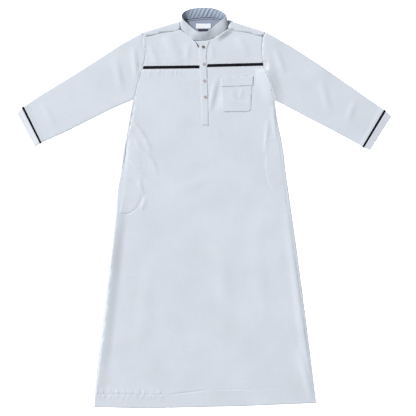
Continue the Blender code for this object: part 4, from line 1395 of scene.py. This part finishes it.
@dataclass
class SidePockets:
    """The open side pocket's welt and the two bags between the layers."""
    bag_areas: tuple[tuple[str, float], ...] = (("right", 0.0172), ("left", 0.0145))

    def build(self) -> None:
        """Builds the welt and both bags."""
        StitchedShell(
            "pocket_welt_right", CLOTH, "cloth", PLAIN, (0.012, 0.125), 0.0010, ("back",), pitch=3.0,
            seam_drop=0.0, pucker=0.0, wall=0.6).build()
        for side, area in self.bag_areas:
            StitchedShell(
                f"pocket_bag_{side}", CLOTH, "cloth", PLAIN, (0.092, 0.29), area, ("back",), pitch=12.0,
                seam_drop=0.0, pucker=0.0, wall=1.2).build()


@dataclass
class NeckLabel:
    """The blank neck label and the small size tab below it, inside the back."""
    row_places: tuple[float, float] = (-28.2, 24.4)
    row_span: tuple[float, float] = (664.4, 681.0)

    def build(self) -> None:
        """Builds both, and sews the label down at its ends."""
        soft = Relief(drape=0.12, drape_reach=18.0, crumple=0.0)
        label = StitchedShell(
            "neck_label", LABEL, "label", soft, (0.0555, 0.0185), None, ("back",), pitch=2.2, seam_drop=0.0,
            pucker=0.0, wall=0.5)
        tab = StitchedShell(
            "size_tab", TAB, "label", soft, (0.036, 0.010), 0.00024, ("back",), pitch=1.6, seam_drop=0.0,
            pucker=0.0, wall=0.5)
        label.build()
        tab.build()
        rows = Sewing("label_stitches", LABEL_THREAD, "label", stitch=1.9, thick=0.36)
        for x in self.row_places:
            rows.along([(x, y) for y in self.row_span], label.skin_tree)
        rows.done()


class CollarStation(NamedTuple):
    """One place round the collar: its neck seam and top edge, the seam's height, and the top's above it."""
    seam_x: float
    seam_y: float
    top_x: float
    top_y: float
    rise: float
    stand: float


COLLAR_STATIONS = tuple(CollarStation(*row) for row in (
    (-8, 618.6, -12, 646.2, 7.0, 20), (11, 621.9, 13, 651.7, 7.0, 17),
    (33.3, 630.3, 27.8, 662.0, 6.9, 13), (55.2, 638.8, 39.5, 673.5, 6.8, 12),
    (73.6, 653.2, 55.0, 686.5, 6.7, 15), (86.4, 667.0, 70.5, 697.0, 6.2, 24),
    (87.4, 684.0, 82.5, 707.0, 4.2, 33), (77.0, 694.6, 77.2, 718.0, 1.7, 35),
    (61.0, 697.9, 61.0, 728.3, 1.4, 30), (37.0, 705.2, 38.0, 736.8, 1.4, 29),
    (7.4, 705.9, 7.4, 740.0, 1.4, 26), (-22.2, 703.7, -22.2, 739.6, 1.4, 24),
    (-51.8, 700.0, -51.8, 735.0, 1.4, 25), (-74.0, 694.9, -72.0, 726.0, 1.7, 29),
    (-87.2, 685.0, -82.6, 713.5, 4.2, 31), (-86.4, 666.8, -78.7, 698.0, 6.2, 28),
    (-73.4, 650.4, -63.4, 683.0, 6.4, 24), (-58.8, 639.3, -46.8, 668.5, 6.4, 20),
    (-42.2, 626.0, -30.0, 655.5, 6.4, 18), (-18.0, 622.4, -15.2, 648.3, 6.4, 17),
    (3.0, 622.4, 3.0, 649.2, 6.4, 16),
))


LAST_STATION = len(COLLAR_STATIONS) - 1


def spline(four: Sequence[float], at: float) -> float:
    """A smooth curve through measures at even steps.

    Args:
        four: the measures before, at, after and beyond the step.
        at: the place in the step, from 0 to 1.

    Returns:
        The measure there.
    """
    a, b, c, d = four
    bend = 2 * a - 5 * b + 4 * c - d
    twist = 3 * b - a - 3 * c + d
    return 0.5 * (2 * b + (c - a) * at + bend * at ** 2 + twist * at ** 3)


@dataclass
class Collar:
    """The stand collar, a band round the neck whose left end laps over the right."""
    height: float = 43.0
    bow: float = 1.5
    wall: float = 1.2
    columns: int = 320
    rows: int = 14
    pleat_start: float = 7.3
    pleat_end: float = 12.4
    pleats: int = 10
    pleat_depth: float = 2.9
    slant: float = 0.6
    length: float = 0.545
    tuck: float = 0.13
    edge_round: float = 0.35
    step: float = 0.02
    stitch_rows: tuple[float, float] = (0.12, 0.88)
    neck_y: float = 0.675
    tape_span: tuple[float, float] = (6.6, 14.4)
    tape_flat: float = 0.195
    tape_width: float = 10.0
    tape_over: float = 2.0
    tape_level: float = 3.1
    tape_wall: float = 0.5
    # the near-black cord along the neck seam, which is painted shadow: its shift, thickness and overlap
    shadow_cord_shift: tuple[float, float, float] = (0.0, -2.6, 3.0)
    shadow_cord_thick: float = 1.6
    shadow_cord_lap: float = 2.2

    def line(self, place: float, v: float) -> Vector:
        """A point of the plain outer face.

        Args:
            place: how far round the collar it is, in stations.
            v: how far up the band it is, from 0 at the neck seam to 1 at the top edge.

        Returns:
            The point, in millimetres.
        """
        low = min(max(int(math.floor(place)), 0), LAST_STATION - 1)
        near = [COLLAR_STATIONS[min(max(low + k, 0), LAST_STATION)] for k in (-1, 0, 1, 2)]
        seam_x, seam_y, top_x, top_y, rise, stand = (spline(four, place - low) for four in zip(*near))
        seam = Vector((seam_x, seam_y, rise))
        plan = seam.xy.lerp(Vector((top_x, top_y)), v)
        return Vector((plan.x, plan.y, seam.z + stand * v + self.bow * math.sin(math.pi * v)))

    def around(self, place: float, v: float) -> Vector:
        """The way along the band at a point of it."""
        return self.line(place + self.step, v) - self.line(place - self.step, v)

    def lowered(self, place: float) -> float:
        """How far below the seam the band reaches, where it laps onto the placket."""
        return self.tuck * max(1.0 - place / 4.0, min((place - 16.0) / 2.0, 1.0), 0.0)

    def face(self, place: float, v: float) -> Vector:
        """A point of the outer face with the pleats of its gathered back and its slightly uneven edge.

        Args:
            place: how far round the collar it is, in stations.
            v: how far up the band it is, from 0 to 1.

        Returns:
            The point, in millimetres.
        """
        v -= self.lowered(place) * (1.0 - v)
        point = self.line(place, v)
        share = (place + self.slant * (v - 0.5) - self.pleat_start) / (self.pleat_end - self.pleat_start)
        if 0.0 < share < 1.0:
            wave = abs(math.sin(math.pi * self.pleats * share)) ** 0.7
            uneven = 0.85 + 0.3 * math.sin(5.1 * math.floor(self.pleats * share) + 0.7)
            ends = min(math.sin(math.pi * share) * 2.2, 1.0)
            rise = 0.3 + 0.7 * math.sin(math.pi * min(0.55 * v + 0.12, 0.5))
            up = self.line(place, v + self.step) - self.line(place, v - self.step)
            inward = up.cross(self.around(place, v)).normalized()
            point -= inward * self.pleat_depth * (wave - 0.5) * uneven * ends * rise
        point.z += 0.5 * noise.noise((place * 0.9, v * 1.5, 4.0))
        return point

    def build(self) -> None:
        """Builds the collar and the rows along its edges."""
        bm = bmesh.new()
        bmesh.ops.create_grid(bm, x_segments=self.columns, y_segments=self.rows, size=1.0)
        layer = bm.loops.layers.uv.new("UVMap")
        for vert in bm.verts:
            vert.co = ((vert.co.x + 1.0) * 0.5 * LAST_STATION, (vert.co.y + 1.0) * 0.5, 0.0)
        for bent in bm.faces:
            for loop in bent.loops:
                place, v = loop.vert.co.xy
                loop[layer].uv = (place * self.length / LAST_STATION, v * self.height * MM)
        for vert in bm.verts:
            vert.co = self.face(vert.co.x, vert.co.y)
        bm.normal_update()
        # the band's outer face takes the lighter copy of the cloth, painted light
        piece = piece_from(bm, "collar_cloth_painted_light", COLLAR_CLOTH_PAINTED_LIGHT)
        # the inner face takes the darker copy of the cloth, painted shade inside the band
        walled(piece, self.wall, COLLAR_INSIDE_PAINTED_SHADE, -1.0 if self.outward(piece) else 1.0)
        bevel = piece.modifiers.new("edges", "BEVEL")
        bevel.width = self.edge_round * MM
        bevel.segments = 2
        bevel.limit_method = "ANGLE"
        bevel.angle_limit = math.radians(60)
        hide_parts("collar")
        self.tape_the_neck()
        self.sew()

    def tape_the_neck(self) -> None:
        """Lays the narrow tape that covers the neck seam inside the back; its dark blue-grey colour is
        painted shade.
        """
        start, end = self.tape_span
        bm = bmesh.new()
        bmesh.ops.create_grid(bm, x_segments=90, y_segments=4, size=1.0)
        for vert in bm.verts:
            place = start + (end - start) * (vert.co.x + 1.0) / 2.0
            across = (vert.co.y + 1.0) / 2.0
            along = self.around(place, 0.0)
            inward = Vector((-along.y, along.x, 0.0)).normalized()
            point = self.line(place, 0.0) + inward * (self.tape_width * across - self.tape_over)
            point.z = self.tape_level + 0.25 * noise.noise((place * 3.0, across, 7.0)) - 0.5 * across ** 4
            vert.co = point
        bm.normal_update()
        if sum(bent.normal.z for bent in bm.faces) < 0:
            bmesh.ops.reverse_faces(bm, faces=bm.faces)
        piece = piece_from(bm, "neck_tape", NECK_TAPE_PAINTED_SHADE)
        walled(piece, self.tape_wall)

    def outward(self, piece: bpy.types.Object) -> bool:
        """Which way the sheet's faces look.

        Args:
            piece: the sheet.

        Returns:
            Whether most of them look away from the neck.
        """
        outside = 0
        for polygon in piece.data.polygons:
            away = polygon.center - Vector((0.0, self.neck_y, polygon.center.z))
            outside += 1 if away.dot(polygon.normal) > 0 else -1
        return outside > 0

    def sew(self) -> None:
        """Sews a row near each edge of the band, and lays a near-black cord along the neck seam inside the
        back, which is painted shadow of the seam's groove.
        """
        rows = Sewing("collar_stitches", thick=0.44)
        pace = rows.stitch + rows.gap
        count = int(self.length / MM / pace)
        for v in self.stitch_rows:
            places = [LAST_STATION * k / count for k in range(count + 1)]
            spots = [self.face(place, v) for place in places]
            for place, start, end in zip(places, spots, spots[1:]):
                up = self.face(place, v + 0.03) - self.face(place, v - 0.03)
                rows.one(start, start.lerp(end, rows.stitch / pace), (end - start).cross(up).normalized())
        rows.done()
        # a thick near-black cord along the seam, painted shadow in the groove between band and tape
        shadow_cord = Sewing("neck_seam_thread", NECK_SHADOW_THREAD, gap=0.1, thick=self.shadow_cord_thick)
        first, last = self.tape_span
        count = int((last - first) * 30 / (shadow_cord.stitch + shadow_cord.gap))
        lift = Vector(self.shadow_cord_shift)
        spots = [self.line(first + (last - first) * k / count, 0.04) for k in range(count + 1)]
        for before, after in zip(spots, spots[1:]):
            shadow_cord.one(before + lift, before.lerp(after, self.shadow_cord_lap) + lift, UP)
        shadow_cord.done()


@dataclass
class Studio:
    """Floor, soft light and the camera straight above."""
    view_width: float = 1.5392
    centre_x: float = 0.0148
    camera_height: float = 11.0
    key_distance: float = 45.0
    key_size: float = 6.8
    key_power: float = 24400.0
    fill: float = 0.24
    sky: tuple[float, float, float, float] = (0.95, 0.98, 1.0, 1.0)
    toward_key: tuple[float, float, float] = (-0.54, 0.37, 0.755)
    floor_reach: float = 9.0
    clip_end: float = 60.0

    def build(self) -> None:
        """Builds the studio round the garment."""
        scene = bpy.context.scene
        scene.view_settings.view_transform = "Standard"
        bm = bmesh.new()
        bmesh.ops.create_grid(bm, x_segments=1, y_segments=1, size=self.floor_reach)
        mesh = bpy.data.meshes.new("floor")
        bm.to_mesh(mesh)
        bm.free()
        mesh.materials.append(dressed(FLOOR))
        floor = bpy.data.objects.new("floor", mesh)
        scene.collection.objects.link(floor)
        world = bpy.data.worlds.new("studio_sky")
        world.use_nodes = True
        sky = world.node_tree.nodes["Background"]
        sky.inputs["Color"].default_value = self.sky
        sky.inputs["Strength"].default_value = self.fill
        scene.world = world
        toward = Vector(self.toward_key).normalized()
        lamp = bpy.data.lights.new("key", "AREA")
        lamp.shape = "DISK"
        lamp.size = self.key_size
        lamp.energy = self.key_power
        key = bpy.data.objects.new("key", lamp)
        key.location = toward * self.key_distance
        key.rotation_euler = toward.to_track_quat("Z", "Y").to_euler()
        scene.collection.objects.link(key)
        data = bpy.data.cameras.new("camera")
        data.lens = data.sensor_width * self.camera_height / self.view_width
        data.clip_end = self.clip_end
        camera = bpy.data.objects.new("camera", data)
        camera.location = (self.centre_x, 0.0, self.camera_height)
        scene.collection.objects.link(camera)
        scene.camera = camera


def main() -> None:
    """Builds the garment and its studio."""
    logging.basicConfig(level=logging.INFO, format="%(name)s: %(message)s")
    parts = (Body(), Sleeves(), ChestTapes(), Placket(), Collar(), ChestPocket(), SidePockets(), NeckLabel())
    for part in (*parts, Studio()):
        part.build()
        LOG.info("%s done", type(part).__name__)
    bpy.context.view_layer.update()


if __name__ == "__main__":
    main()
